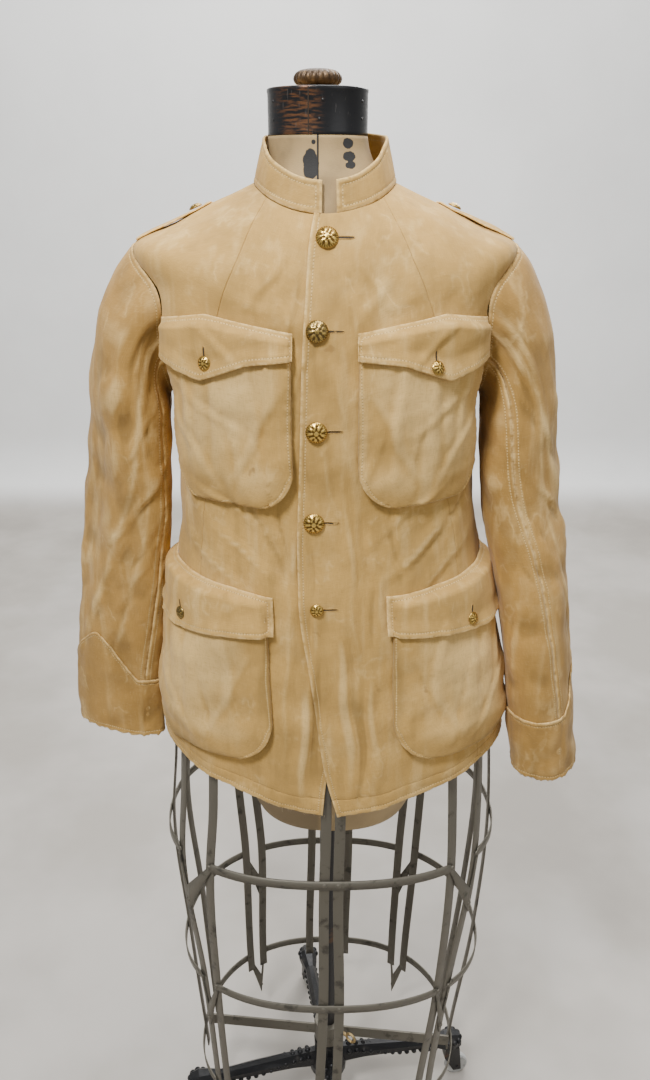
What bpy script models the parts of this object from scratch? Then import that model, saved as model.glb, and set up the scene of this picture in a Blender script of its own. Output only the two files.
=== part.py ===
"""Khaki cotton uniform coat on a limbless dress form with a strap-iron cage skirt.

Metres, +Z up, floor at Z = 0, the coat's front towards -Y.  "Left" and "right" are the
wearer's, so left pieces lie at +X.  Cloth is cut from one smooth body surface, measured by
an angle round the body and a level from hem (0) to neckline (1), and every piece is a wall
of its own thickness between boundary curves on that surface.  The sizes below are measured
from the coat's own middle line; the last step stands the whole part over the origin.
"""
import math

import bmesh
import bpy
import numpy as np
from mathutils import Matrix

# Middle of the whole part's box as seen from above, which the last step puts at X = Y = 0
PART_MIDDLE = (-0.01086, 0.00300)

# Cloth and seams
CLOTH = 0.0016              # thickness of the cotton drill
COLLAR_CLOTH = 0.0024       # two plies stitched together
SEAM = 0.0003               # space between neighbouring pieces
LIE = CLOTH + 3 * SEAM      # height of a piece's middle over the middle of what it lies on
LAP_LIFT = 0.0027           # the left front lies this far over the right one

# Body surface: one row for each ring of cloth, from the hem up.
# Heights are given at the side, the front and the back; depths from the side line.
RING_COLUMNS = ("level", "side_z", "front_z", "back_z", "half_width", "front_depth",
                "back_depth", "centre_x", "roundness", "armhole_x")
BODY_RINGS = np.array((
    (0.00, 0.782, 0.722, 0.760, 0.2270, 0.150, 0.163, 0.012, 2.30, 0.2270),
    (0.10, 0.835, 0.803, 0.820, 0.2225, 0.147, 0.158, 0.011, 2.35, 0.2225),
    (0.22, 0.905, 0.892, 0.900, 0.2070, 0.143, 0.146, 0.008, 2.50, 0.2070),
    (0.36, 1.000, 0.995, 0.998, 0.1905, 0.137, 0.117, 0.006, 2.45, 0.1905),
    (0.48, 1.090, 1.088, 1.088, 0.1765, 0.131, 0.096, 0.003, 2.45, 0.1765),
    (0.58, 1.165, 1.163, 1.163, 0.1730, 0.131, 0.099, 0.001, 2.50, 0.1730),
    (0.66, 1.225, 1.216, 1.222, 0.1740, 0.132, 0.108, 0.000, 2.55, 0.1740),
    (0.75, 1.295, 1.270, 1.285, 0.1870, 0.130, 0.112, 0.000, 2.50, 0.1755),
    (0.83, 1.352, 1.310, 1.335, 0.1990, 0.125, 0.107, 0.000, 2.40, 0.1775),
    (0.88, 1.386, 1.337, 1.367, 0.2080, 0.119, 0.098, 0.000, 2.30, 0.2080),
    (0.93, 1.409, 1.368, 1.394, 0.1600, 0.110, 0.085, 0.000, 2.20, 0.1600),
    (0.97, 1.430, 1.397, 1.422, 0.1120, 0.098, 0.072, 0.000, 2.15, 0.1120),
    (1.00, 1.447, 1.4185, 1.448, 0.0760, 0.085, 0.062, 0.000, 2.10, 0.0760),
))
UNDERARM, SHOULDER = 0.66, 0.88     # levels of the armhole's lowest and highest points

# Large soft folds of the body: angle round the body, level, reach along the level, width
# in degrees, lean in degrees for each unit of level, and depth (outwards is positive).
BODY_FOLDS = (
    (58, 0.48, 0.16, 6.0, 20, 0.0030),
    (74, 0.42, 0.20, 5.0, -10, -0.0030),
    (118, 0.44, 0.18, 6.0, -15, 0.0030),
    (132, 0.50, 0.14, 5.5, 12, -0.0025),
    (112, 0.12, 0.16, 6.0, 0, 0.0035),
    (70, 0.10, 0.16, 6.5, 10, 0.0040),
    (40, 0.06, 0.12, 7.0, 0, 0.0035),
    (146, 0.05, 0.12, 7.0, 0, 0.0035),
    (-24, 0.05, 0.20, 7.0, 0, 0.0050),
    (-52, 0.08, 0.24, 7.5, 4, -0.0040),
    (-75, 0.06, 0.22, 7.0, 0, 0.0050),
    (-108, 0.06, 0.22, 7.5, 0, 0.0050),
    (-130, 0.08, 0.24, 7.0, -4, -0.0040),
    (-156, 0.05, 0.20, 7.0, 0, 0.0050),
    (-60, 0.50, 0.16, 7.0, 20, 0.0030),
    (-122, 0.50, 0.16, 7.0, -20, 0.0030),
    (-90, 0.46, 0.12, 9.0, 0, -0.0020),
)

# Where the shaping seam runs, as distance from the coat's middle line at each level
SHAPING_SEAM = np.array((
    (0.00, 0.182), (0.12, 0.176), (0.30, 0.160), (0.42, 0.148), (0.52, 0.136),
    (0.66, 0.124), (0.80, 0.113), (0.90, 0.092), (0.97, 0.072), (1.00, 0.060)))
# The two front edges, as X at each level: the left front laps over the right one
LAP_EDGE = np.array((
    (0.00, 0.0150), (0.06, 0.0020), (0.13, -0.0065), (0.25, -0.0175), (0.35, -0.0285),
    (0.45, -0.0305), (0.60, -0.0270), (0.75, -0.0240), (0.88, -0.0200), (0.97, -0.0150),
    (1.00, -0.0110)))
UNDER_EDGE = np.array((
    (0.00, -0.0030), (0.06, 0.0020), (0.13, 0.0130), (0.25, 0.0200), (0.60, 0.0200),
    (1.00, 0.0140)))

# Chest pockets, hip pockets and their flaps, cut flat: distance round the body from the
# middle line, then heights.  Widths run from the inner to the outer edge.
CHEST_POCKET = {"inner": 0.035, "outer": 0.186, "top": 1.290, "bottom": 1.122,
                "corner": 0.042, "puff": 0.006}
CHEST_FLAP = {"inner": 0.033, "outer": 0.190, "top": (1.3075, 1.3250, 1.3170),
              "low": (1.2810, 1.2760, 1.2590, 1.2690, 1.2790), "point": 0.60}
HIP_POCKET = {"inner": 0.072, "outer": 0.258, "top": 0.996, "bottom": 0.800,
              "corner": 0.055, "puff": 0.010}
HIP_FLAP = {"inner": 0.064, "outer": 0.262, "top": (1.0150, 1.0280, 1.0330),
            "low": (0.9690, 0.9660, 0.9580, 0.9640, 0.9760), "point": 0.62}

# Sleeves: rings from the biceps down to the cuff's edge.  x is the distance of the ring's
# middle from X = 0, the oval's long half-width is turned by twist from front-back
# towards the body, and seam is the angle of the front seam round the oval.
SLEEVE_COLUMNS = ("z", "x", "y", "long", "short", "twist", "seam")
RIGHT_SLEEVE = np.array((
    (1.200, 0.2315, 0.006, 0.0750, 0.0460, 22.0, -25.0),
    (1.115, 0.2415, 0.012, 0.0730, 0.0390, 41.0, -5.0),
    (1.020, 0.2545, 0.020, 0.0710, 0.0340, 52.0, 15.0),
    (0.905, 0.2725, 0.027, 0.0690, 0.0290, 61.0, 32.0),
    (0.843, 0.2820, 0.029, 0.0680, 0.0270, 63.0, 38.0),
    (0.742, 0.2885, 0.027, 0.0670, 0.0250, 66.0, 45.0)))
LEFT_SLEEVE = np.array((
    (1.200, 0.2285, -0.002, 0.0740, 0.0440, 14.0, 0.0),
    (1.115, 0.2345, -0.014, 0.0680, 0.0440, 25.0, 22.0),
    (1.020, 0.2500, -0.032, 0.0630, 0.0420, 27.0, 44.0),
    (0.930, 0.2635, -0.045, 0.0590, 0.0400, 25.0, 52.0),
    (0.860, 0.2730, -0.052, 0.0550, 0.0390, 25.0, 57.0),
    (0.780, 0.2830, -0.057, 0.0500, 0.0390, 25.0, 60.0),
    (0.740, 0.2885, -0.058, 0.0480, 0.0390, 25.0, 62.0)))
# Sleeve folds: angle from the front seam, height, reach, width in degrees, depth
SLEEVE_FOLDS = (
    (60, 1.12, 0.10, 16, 0.0040), (100, 1.06, 0.12, 16, -0.0035),
    (140, 1.03, 0.12, 18, 0.0040), (20, 1.02, 0.06, 14, 0.0030),
    (75, 0.93, 0.10, 18, 0.0035), (160, 0.92, 0.08, 18, -0.0030),
    (200, 1.05, 0.10, 18, 0.0035))
SLEEVE_SEAM_TURN = -28.0            # where the front seam meets the armhole
UPPER_MIDDLE, UPPER_REACH = 102.0, 108.0    # the upper's columns, in degrees from that seam
# Cuff: its height, the height of its point, and the point's place and half-width in degrees
CUFF_UNDER, CUFF_PEAK, CUFF_PEAK_AT = 0.088, 0.156, 70.0
CUFF_PEAK_WIDTH = 62.0

# Collar: height of its top edge at the front, side and back, and how far it leans in
COLLAR_TOP = {"front": 1.451, "side": 1.494, "back": 1.501}
COLLAR_LEAN = {"front": 0.007, "side": 0.0120, "back": 0.004}
COLLAR_LEFT_X, COLLAR_RIGHT_X = 0.012, -0.003

# Buttons: distance round the body and height
FRONT_BUTTONS = ((0.002, 1.3965), (-0.008, 1.3095), (-0.009, 1.2080), (-0.0145, 1.1055),
                 (-0.0150, 1.0020))
# Flap buttons: kind, left distance and height, right distance and height, and how far the
# seat stands off the flap where the cloth is curved
FLAP_BUTTONS = (("chest", 0.112, 1.2735, 0.122, 1.2770, 0.0005),
                ("hip", 0.163, 0.9745, 0.178, 0.9760, 0.0000))
STRAP_BUTTON_LEVEL = 0.948
LARGE_BUTTON, SMALL_BUTTON = 0.0115, 0.0077
BUTTON_RISE = 0.0062
BUTTON_SEAT = CLOTH / 2 + SEAM + 0.0002     # base of a button over the cloth's middle
# Turned profile of a button: share of its radius, share of its rise
BUTTON_PROFILE = ((0.90, 0.0), (1.0, 0.22), (0.82, 0.66), (0.42, 0.94))

# Shoulder straps: levels of the two ends, half-width, and where the rounded end starts
STRAP_LEVELS = (SHOULDER + 0.006, 0.962)
STRAP_HALF, STRAP_ROUND_FROM, STRAP_TAPER = 0.0195, 0.940, 0.0095

# Dress form: the body surface drawn in by these amounts at each level
FORM_INSET = np.array((
    (0.10, 0.0125), (0.22, 0.0100), (0.36, 0.0110), (0.48, 0.0100), (0.66, 0.0080),
    (0.78, 0.0076), (0.86, 0.0062), (0.91, 0.0029), (0.94, 0.0026), (0.97, 0.0028),
    (1.00, 0.0050)))
# Below the hips it closes in towards its foot: height, half-width, front and back depth
FORM_FOOT = ((0.785, 0.2020, 0.1320, 0.1420), (0.745, 0.1790, 0.1240, 0.1300),
             (0.700, 0.1330, 0.1080, 0.1100), (0.650, 0.1060, 0.0960, 0.0940))
# Neck of the form above the neckline: height, radius, middle's X and Y
FORM_NECK = ((1.452, 0.0620, -0.001, -0.0105), (1.465, 0.0565, -0.003, -0.0090),
             (1.480, 0.0532, -0.006, -0.0075), (1.4925, 0.0524, -0.0075, -0.0070))
NECK_X, NECK_Y = -0.0075, -0.0070
BAND_RADIUS, BAND_WALL, BAND_LOW, BAND_TOP = 0.0525, 0.0020, 1.4930, 1.5370
KNOB_RADIUS, KNOB_LOBES, KNOB_LOW, KNOB_TOP = 0.0255, 14, 1.5405, 1.5560
# Knob from its stem up: radius, height, and whether the row is ribbed
KNOB_PROFILE = ((0.0060, BAND_TOP - 0.0012, 0), (0.0060, KNOB_LOW, 0),
                (0.0225, KNOB_LOW, 1), (KNOB_RADIUS, KNOB_LOW + 0.0055, 1),
                (0.0225, KNOB_LOW + 0.0115, 1), (0.0120, KNOB_TOP, 1))

# Cage skirt of strap iron: height, half-width, front and back depth, middle's X
CAGE_OVALS = np.array((
    (0.120, 0.1970, 0.1390, 0.1850, 0.004), (0.150, 0.1990, 0.1400, 0.1850, 0.004),
    (0.385, 0.2185, 0.1480, 0.1810, 0.009), (0.610, 0.2270, 0.1500, 0.1760, 0.008),
    (0.700, 0.2200, 0.1450, 0.1640, 0.010), (0.760, 0.2150, 0.1430, 0.1560, 0.010)))
STRAP_THICK, STRAP_WIDE = 0.0022, 0.0135
STRUT_FOOT, STRUT_TOP = 0.120, 0.845
RING_HEIGHTS = (0.610, 0.385, 0.150)
RING_TALL, RING_THICK = 0.013, 0.0020
RING_OFF = STRAP_THICK / 2 + 0.0015         # back of a ring, off the straps' middle
FORM_OFF = STRAP_THICK / 2 + 0.0008         # middle of a strap, off the form it is riveted to
HEIGHT_COLUMNS = (STRUT_TOP, 0.610, 0.385, STRUT_FOOT)
# Each pair of upright straps: angles in degrees at the four heights above
STRUT_PAIRS = {
    "cage_straps_front": ((86.0, 86.5, 85.8, 84.8), (93.6, 93.4, 94.4, 95.6)),
    "cage_straps_front_left": ((36.5, 36.5, 38.0, 40.0), (21.0, 25.0, 33.0, 33.0)),
    "cage_straps_front_right": ((143.5, 143.8, 146.0, 146.5), (159.0, 158.0, 153.0, 153.0)),
    "cage_straps_side_left": ((1.0, 1.0, 1.0, 1.0), (-14.0, -15.0, -17.0, -17.0)),
    "cage_straps_side_right": ((181.0, 181.0, 181.0, 181.0), (196.0, 197.0, 199.0, 199.0)),
    "cage_straps_back_left": ((-43.0, -44.0, -46.0, -47.0), (-52.0, -51.0, -54.0, -54.0)),
    "cage_straps_back_right": ((223.0, 224.0, 226.0, 227.0), (232.0, 231.0, 234.0, 234.0)),
    "cage_straps_back": ((-82.0, -81.0, -80.0, -80.0), (-98.0, -99.0, -100.0, -100.0)),
}
LINK_DROP = 0.092           # the short steep links hang this far below a ring

# Stand: the legs are oval sections, the hub a turned profile
HUB_X, HUB_Y = 0.005, 0.003
HUB_PROFILE = ((0.020, 0.060), (0.030, 0.070), (0.030, 0.082), (0.022, 0.110),
               (0.0230, 0.1350))
POST_RADIUS, POST_TOP = 0.0125, 0.960
SLIDE_FIT = 0.0003
HUB_TOP = HUB_PROFILE[-1][1]
LEG_REACH, LEG_TURN = 0.215, 10.0
LEG_COLUMNS = ("reach", "height", "half_width", "half_height")
LEG_SECTIONS = ((0.018, 0.092, 0.012, 0.021), (0.060, 0.092, 0.012, 0.016),
                (0.120, 0.088, 0.012, 0.012), (0.180, 0.082, 0.010, 0.011),
                (0.203, 0.080, 0.016, 0.017), (LEG_REACH, 0.080, 0.018, 0.0178),
                (0.230, 0.080, 0.013, 0.013))
LEG_COUNT = 4
KNUCKLE_LOW = 0.0620
CASTER_TRAIL = 0.012
WHEEL_RADIUS, WHEEL_WIDE = 0.0200, 0.012
AXLE_RADIUS = 0.0025
FORK_PLATE = 0.0025
BAR_TURN = -6.0
CLAMP_LOW, CLAMP_TOP, CLAMP_RADIUS = HUB_TOP + SEAM, 0.1750, 0.0215
EYE_TURN = -36.0

MATERIALS = {
    "khaki_body": ((0.62, 0.45, 0.25), 0.90, 0.0),
    "khaki_sleeve": ((0.55, 0.38, 0.20), 0.90, 0.0),
    "brass": ((0.75, 0.52, 0.16), 0.32, 1.0),
    "form_canvas": ((0.46, 0.36, 0.23), 0.85, 0.0),
    "black_metal": ((0.035, 0.032, 0.030), 0.40, 0.6),
    "bronze_knob": ((0.13, 0.095, 0.055), 0.45, 0.5),
    "strap_iron": ((0.34, 0.32, 0.28), 0.50, 0.6),
    "cast_iron": ((0.03, 0.03, 0.032), 0.45, 0.5),
    "caster_wheel": ((0.50, 0.50, 0.48), 0.55, 0.0),
}


def clear_scene():
    """Remove every object, so that the script gives the same model each run."""
    for thing in list(bpy.data.objects):
        bpy.data.objects.remove(thing, do_unlink=True)


def material(name):
    """One Principled material for each finish."""
    found = bpy.data.materials.get(name)
    if found:
        return found
    colour, rough, metal = MATERIALS[name]
    made = bpy.data.materials.new(name)
    made.use_nodes = True
    shader = made.node_tree.nodes["Principled BSDF"]
    shader.inputs["Base Color"].default_value = (*colour, 1.0)
    shader.inputs["Roughness"].default_value = rough
    shader.inputs["Metallic"].default_value = metal
    return made


def add_object(name, points, faces, finish):
    """Make one closed mesh object with its faces pointing outwards."""
    mesh = bpy.data.meshes.new(name)
    mesh.from_pydata([tuple(p) for p in points], [], faces)
    work = bmesh.new()
    work.from_mesh(mesh)
    bmesh.ops.recalc_face_normals(work, faces=work.faces)
    if work.calc_volume(signed=True) < 0:
        bmesh.ops.reverse_faces(work, faces=work.faces)
    work.to_mesh(mesh)
    work.free()
    mesh.materials.append(material(finish))
    mesh.shade_smooth()
    thing = bpy.data.objects.new(name, mesh)
    bpy.context.scene.collection.objects.link(thing)
    return thing


def smooth_rows(knots, values, at):
    """Smooth curve through table rows: a cubic between rows, its slopes from the rows."""
    slopes = np.gradient(values, knots)
    row = np.clip(np.searchsorted(knots, at, side="right") - 1, 0, len(knots) - 2)
    span = knots[row + 1] - knots[row]
    s = (at - knots[row]) / span
    low = (1 + 2 * s) * (1 - s) ** 2 * values[row] + s * (1 - s) ** 2 * span * slopes[row]
    high = s * s * (3 - 2 * s) * values[row + 1] + s * s * (s - 1) * span * slopes[row + 1]
    return low + high


def ring(column, level):
    """A named column of the body's ring table, read at any level."""
    at = np.asarray(level, float)
    return smooth_rows(BODY_RINGS[:, 0], BODY_RINGS[:, RING_COLUMNS.index(column)], at)


def oval_radius(angle, half_width, depth, roundness):
    """Distance from the middle to a rounded oval in the direction of the angle."""
    across = (np.abs(np.cos(angle)) / half_width) ** roundness
    along = (np.abs(np.sin(angle)) / depth) ** roundness
    return (across + along) ** (-1.0 / roundness)


def body_radius(angle, level):
    """Radius of the coat's body at an angle (90 degrees is the front) and a level."""
    depth = np.where(np.sin(angle) > 0, ring("front_depth", level), ring("back_depth", level))
    return oval_radius(angle, ring("half_width", level), depth, ring("roundness", level))


def body_base(angle, level):
    """The body surface without folds."""
    angle, level = np.broadcast_arrays(np.asarray(angle, float), np.asarray(level, float))
    radius = body_radius(angle, level)
    middle_z = np.where(np.sin(angle) > 0, ring("front_z", level), ring("back_z", level))
    side_z = ring("side_z", level)
    z = side_z + (middle_z - side_z) * np.sin(angle) ** 2
    return np.stack([ring("centre_x", level) + radius * np.cos(angle),
                     -radius * np.sin(angle), z], -1)


def body_normal(angle, level):
    """Outward direction of the body surface, from two short steps over it."""
    step = 1e-3
    here = body_base(angle, level)
    up = body_base(angle, level + step) - here
    round_it = body_base(angle + step, level) - body_base(angle - step, level)
    out = np.cross(up, round_it)
    return out / np.linalg.norm(out, axis=-1, keepdims=True)


def wrap(angle):
    """Angle difference brought into -pi to pi."""
    return (angle + math.pi) % (2 * math.pi) - math.pi


def body_folds(angle, level):
    """Height of the soft folds: each is a bell across its width and along its reach."""
    total = np.zeros(np.broadcast(angle, level).shape)
    for middle, at_level, reach, width, lean, depth in BODY_FOLDS:
        centre = math.radians(middle) + math.radians(lean) * (level - at_level)
        across = wrap(angle - centre) / math.radians(width)
        along = (level - at_level) / reach
        total = total + depth * np.exp(-across ** 2) * np.exp(-along ** 2)
    return total * np.clip((SHOULDER - 0.04 - level) / 0.12, 0, 1)


def on_body(angle, level, height=0.0):
    """Point on the coat's body, folds included, moved out by a height."""
    out = body_folds(angle, level) + height
    return body_base(angle, level) + body_normal(angle, level) * np.asarray(out)[..., None]


def angle_at_offset(level, offset):
    """Front angle whose distance from the middle line is the offset, by halving."""
    low = np.zeros_like(level)
    high = np.full_like(level, math.pi)
    for _ in range(44):
        middle = (low + high) / 2
        beyond = body_radius(middle, level) * np.cos(middle) > offset
        low = np.where(beyond, middle, low)
        high = np.where(beyond, high, middle)
    return (low + high) / 2


def armhole_angle(level, back=False):
    """Half-angle of the armhole at a level, which is nothing outside the armhole."""
    level = np.asarray(level, float)
    sign = -1.0 if back else 1.0
    low = np.zeros_like(level)
    high = np.full_like(level, math.radians(60))
    for _ in range(44):
        middle = (low + high) / 2
        inside = body_radius(sign * middle, level) * np.cos(middle) > ring("armhole_x", level)
        low = np.where(inside, middle, low)
        high = np.where(inside, high, middle)
    shut = (level <= UNDERARM + 1e-6) | (level >= SHOULDER - 1e-6)
    return np.where(shut, 0.0, (low + high) / 2)


def edge_angle(table, level):
    """Angle of a front edge given as X at each level."""
    x = smooth_rows(table[:, 0], table[:, 1], level)
    return angle_at_offset(level, x - ring("centre_x", level))


def seam_angle(level):
    """Angle of the left shaping seam; the right one is its mirror image."""
    offset = smooth_rows(SHAPING_SEAM[:, 0], SHAPING_SEAM[:, 1], level)
    return angle_at_offset(level, offset)


def shell(name, outer, inner, finish, closed=False, mask=None):
    """Closed wall between two grids of points, open at its rims unless closed round."""
    rows, columns = outer.shape[:2]
    cells = columns if closed else columns - 1
    keep = np.ones((rows - 1, cells), bool) if mask is None else mask
    count = rows * columns
    faces = []

    def has(r, c):
        if closed:
            c = c % cells
        return 0 <= r < rows - 1 and 0 <= c < cells and keep[r, c]

    for r in range(rows - 1):
        for c in range(cells):
            if not keep[r, c]:
                continue
            d = (c + 1) % columns
            a0, a1, b1, b0 = (r * columns + c, r * columns + d,
                              (r + 1) * columns + d, (r + 1) * columns + c)
            faces.append((a0, a1, b1, b0))
            faces.append((count + a0, count + b0, count + b1, count + a1))
            if not has(r - 1, c):
                faces.append((a0, count + a0, count + a1, a1))
            if not has(r + 1, c):
                faces.append((b1, count + b1, count + b0, b0))
            if not has(r, c - 1 if not closed else c - 1 + cells):
                faces.append((b0, count + b0, count + a0, a0))
            if not has(r, c + 1):
                faces.append((a1, count + a1, count + b1, b1))
    points = np.concatenate([outer.reshape(-1, 3), inner.reshape(-1, 3)])
    used = sorted({i for face in faces for i in face})
    place = {old: new for new, old in enumerate(used)}
    faces = [tuple(place[i] for i in face) for face in faces]
    return add_object(name, points[used], faces, finish)


def grid_normals(points, closed=False):
    """Normals of a grid of points from its own steps, rows down and columns round."""
    if closed:
        across = np.roll(points, -1, 1) - np.roll(points, 1, 1)
    else:
        across = np.gradient(points, axis=1)
    out = np.cross(across, np.gradient(points, axis=0))
    return out / np.linalg.norm(out, axis=-1, keepdims=True)


def skin(name, rows, finish):
    """Closed solid from rings of points, each end closed by a fan."""
    rows = [np.asarray(row) for row in rows]
    columns = len(rows[0])
    points = np.concatenate(rows + [rows[0].mean(0)[None], rows[-1].mean(0)[None]])
    first, last = len(points) - 2, len(points) - 1
    faces = []
    for r in range(len(rows) - 1):
        for c in range(columns):
            d = (c + 1) % columns
            faces.append((r * columns + c, r * columns + d,
                          (r + 1) * columns + d, (r + 1) * columns + c))
    top = (len(rows) - 1) * columns
    for c in range(columns):
        d = (c + 1) % columns
        faces.append((first, d, c))
        faces.append((last, top + c, top + d))
    return add_object(name, points, faces, finish)


def turned(profile, sides, centre=(0.0, 0.0)):
    """Rings of points for a turned shape: profile rows are radius and height."""
    turn = np.arange(sides) * 2 * math.pi / sides
    return [np.stack([centre[0] + radius * np.cos(turn), centre[1] + radius * np.sin(turn),
                      np.full(sides, height)], -1) for radius, height in profile]


# Body panels

def body_levels():
    """Rows of cloth: even below the arm, crowded at both ends of the armhole, then even."""
    below = np.linspace(0.0, UNDERARM, 12)
    half = (SHOULDER - UNDERARM) / 2
    middle = (SHOULDER + UNDERARM) / 2
    hole = middle - half * np.cos(np.linspace(0, math.pi, 9))
    above = np.linspace(SHOULDER, 1.0, 5)
    return np.concatenate([below, hole[1:], above[1:]])


def panel(name, start, stop, columns, height=None):
    """One body panel between two edge curves, each an angle for every level."""
    level = body_levels()
    first, last = start(level), stop(level)
    radius = body_radius((first + last) / 2, level)
    trim = SEAM / 2 / radius
    turn = np.sign(last - first)
    first, last = first + turn * trim, last - turn * trim
    share = np.linspace(0, 1, columns + 1)
    angle = first[:, None] + (last - first)[:, None] * share[None, :]
    level = np.broadcast_to(level[:, None], angle.shape)
    lift = 0.0 if height is None else height(angle, level)
    outer = on_body(angle, level, lift + CLOTH / 2)
    inner = on_body(angle, level, lift - CLOTH / 2)
    return shell(name, outer, inner, "khaki_body")


def lap_lift(angle, level):
    """The left front rises smoothly to lie over the right one near the middle."""
    x = ring("centre_x", level) + body_radius(angle, level) * np.cos(angle)
    share = np.clip((0.056 - x) / 0.026, 0, 1)
    return LAP_LIFT * share * share * (3 - 2 * share)


def make_body():
    """Two fronts, two side fronts and two backs."""
    def left_side(level):
        return armhole_angle(level)

    def left_side_back(level):
        return -armhole_angle(level, back=True)

    def right_side(level):
        return math.pi - armhole_angle(level)

    def right_side_back(level):
        return math.pi + armhole_angle(level, back=True)

    def right_seam(level):
        return math.pi - seam_angle(level)

    def back_middle(level):
        return np.full_like(level, -math.pi / 2)

    def back_middle_round(level):
        return np.full_like(level, 1.5 * math.pi)

    panel("front_left", lambda level: edge_angle(LAP_EDGE, level), seam_angle, 8, lap_lift)
    panel("front_right", right_seam, lambda level: edge_angle(UNDER_EDGE, level), 7)
    panel("side_front_left", seam_angle, left_side, 4)
    panel("side_front_right", right_side, right_seam, 4)
    panel("back_left", left_side_back, back_middle, 8)
    panel("back_right", back_middle_round, right_side_back, 8)


# Pieces that lie on the body

def arc_angles(arc, level):
    """Front angle at a distance round the body from the middle line, by adding steps."""
    arc, level = np.broadcast_arrays(np.asarray(arc, float), np.asarray(level, float))
    steps = np.linspace(math.pi / 2, math.radians(-30), 121)
    path = body_base(steps, level[..., None])
    run = np.linalg.norm(np.diff(path, axis=-2), axis=-1).cumsum(-1)
    run = np.concatenate([np.zeros(run.shape[:-1] + (1,)), run], -1)
    want = np.abs(arc)[..., None]
    row = np.clip((run < want).sum(-1) - 1, 0, len(steps) - 2)
    before = np.take_along_axis(run, row[..., None], -1)[..., 0]
    after = np.take_along_axis(run, row[..., None] + 1, -1)[..., 0]
    share = (np.abs(arc) - before) / (after - before)
    angle = steps[row] + (steps[1] - steps[0]) * share
    return np.where(arc >= 0, angle, math.pi - angle)


def spot(arc, z):
    """Angle and level of the place at a distance round the body and a height."""
    arc, z = np.broadcast_arrays(np.asarray(arc, float), np.asarray(z, float))
    levels = np.linspace(0, 1, 201)
    level = np.interp(z, ring("front_z", levels), levels)
    for _ in range(5):
        angle = arc_angles(arc, level)
        step = 1e-3
        here = body_base(angle, level)[..., 2]
        slope = (body_base(angle, level + step)[..., 2] - here) / step
        level = level + np.clip((z - here) / slope, -0.05, 0.05)
    return arc_angles(arc, level), level


def on_cloth(arc, z, height):
    """Point over the front at a distance round the body, a height and a rise off it."""
    angle, level = spot(arc, z)
    lift = np.where(arc > -0.06, lap_lift(angle, level), 0.0) * (np.asarray(arc) < 0.06)
    return on_body(angle, level, lift + height)


def pocket_rise(pocket, arc, z):
    """How far a pocket's middle stands off the panel: full inside, low at its edges."""
    across = (np.abs(arc) - pocket["inner"]) / (pocket["outer"] - pocket["inner"])
    along = (z - pocket["bottom"]) / (pocket["top"] - pocket["bottom"])
    across = np.clip(across, 0, 1)
    along = np.clip(along, 0, 1)
    belly = np.clip(4 * across * (1 - across), 0, 1) ** 0.6
    fall = np.clip(along * 5.0, 0, 1) ** 0.6
    return LIE + 0.0008 + pocket["puff"] * belly * fall


def patch(name, arc, z, height, thickness=CLOTH):
    """Wall of cloth lying over the front on a grid of distances and heights."""
    outer = on_cloth(arc, z, height + thickness / 2)
    inner = on_cloth(arc, z, height - thickness / 2)
    return shell(name, outer, inner, "khaki_body")


def make_pocket(name, pocket, side, rows, columns):
    """Patch pocket with rounded lower corners, bellied out a little."""
    share = np.linspace(0, 1, rows + 1)
    drop = pocket["bottom"] + (pocket["top"] - pocket["bottom"]) * share ** 1.15
    corner = pocket["corner"]
    low = np.clip(corner - (drop - pocket["bottom"]), 0, corner)
    cut = corner - np.sqrt(np.maximum(corner ** 2 - low ** 2, 0))
    cut = np.minimum(cut, 0.80 * corner)
    across = np.linspace(0, 1, columns + 1)
    first = pocket["inner"] + cut
    last = pocket["outer"] - cut
    arc = first[:, None] + (last - first)[:, None] * across
    z = np.broadcast_to(drop[:, None], arc.shape)
    rise = pocket_rise(pocket, arc, z)
    patch(name, side * arc, z, rise)


def flap_edges(flap, share):
    """Top and lower edge heights of a flap along its width."""
    top = np.interp(share, (0, flap["point"], 1), flap["top"])
    marks = (0, 0.5 * flap["point"], flap["point"], 0.5 + 0.5 * flap["point"], 1)
    return top, np.interp(share, marks, flap["low"])


def make_flap(name, flap, pocket, side, rows, columns):
    """Pointed flap, seated on the panel at its top and lying over the pocket below."""
    share = np.linspace(0, 1, columns + 1)
    top, low = flap_edges(flap, share)
    down = np.linspace(0, 1, rows + 1)[:, None]
    z = low + (top - low) * down
    arc = np.broadcast_to(flap["inner"] + (flap["outer"] - flap["inner"]) * share, z.shape)
    patch(name, side * arc, z, flap_rise(flap, pocket, arc, z))


def flap_rise(flap, pocket, arc, z):
    """Flap height: on the panel along its top seam, over the pocket from its top edge."""
    share = (arc - flap["inner"]) / (flap["outer"] - flap["inner"])
    top, _ = flap_edges(flap, share)
    settle = np.clip((top - z) / 0.010, 0, 1)
    settle = settle * settle * (3 - 2 * settle)
    over = pocket_rise(pocket, arc, np.minimum(z, pocket["top"])) + LIE + 0.0004
    low = LIE + 0.0005
    return low + (over - low) * settle


def make_pockets():
    """Chest and hip pockets with their flaps on both fronts."""
    for side, word in ((1, "left"), (-1, "right")):
        make_pocket("chest_pocket_" + word, CHEST_POCKET, side, 6, 7)
        make_flap("chest_flap_" + word, CHEST_FLAP, CHEST_POCKET, side, 3, 9)
        make_pocket("hip_pocket_" + word, HIP_POCKET, side, 6, 8)
        make_flap("hip_flap_" + word, HIP_FLAP, HIP_POCKET, side, 3, 9)


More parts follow.
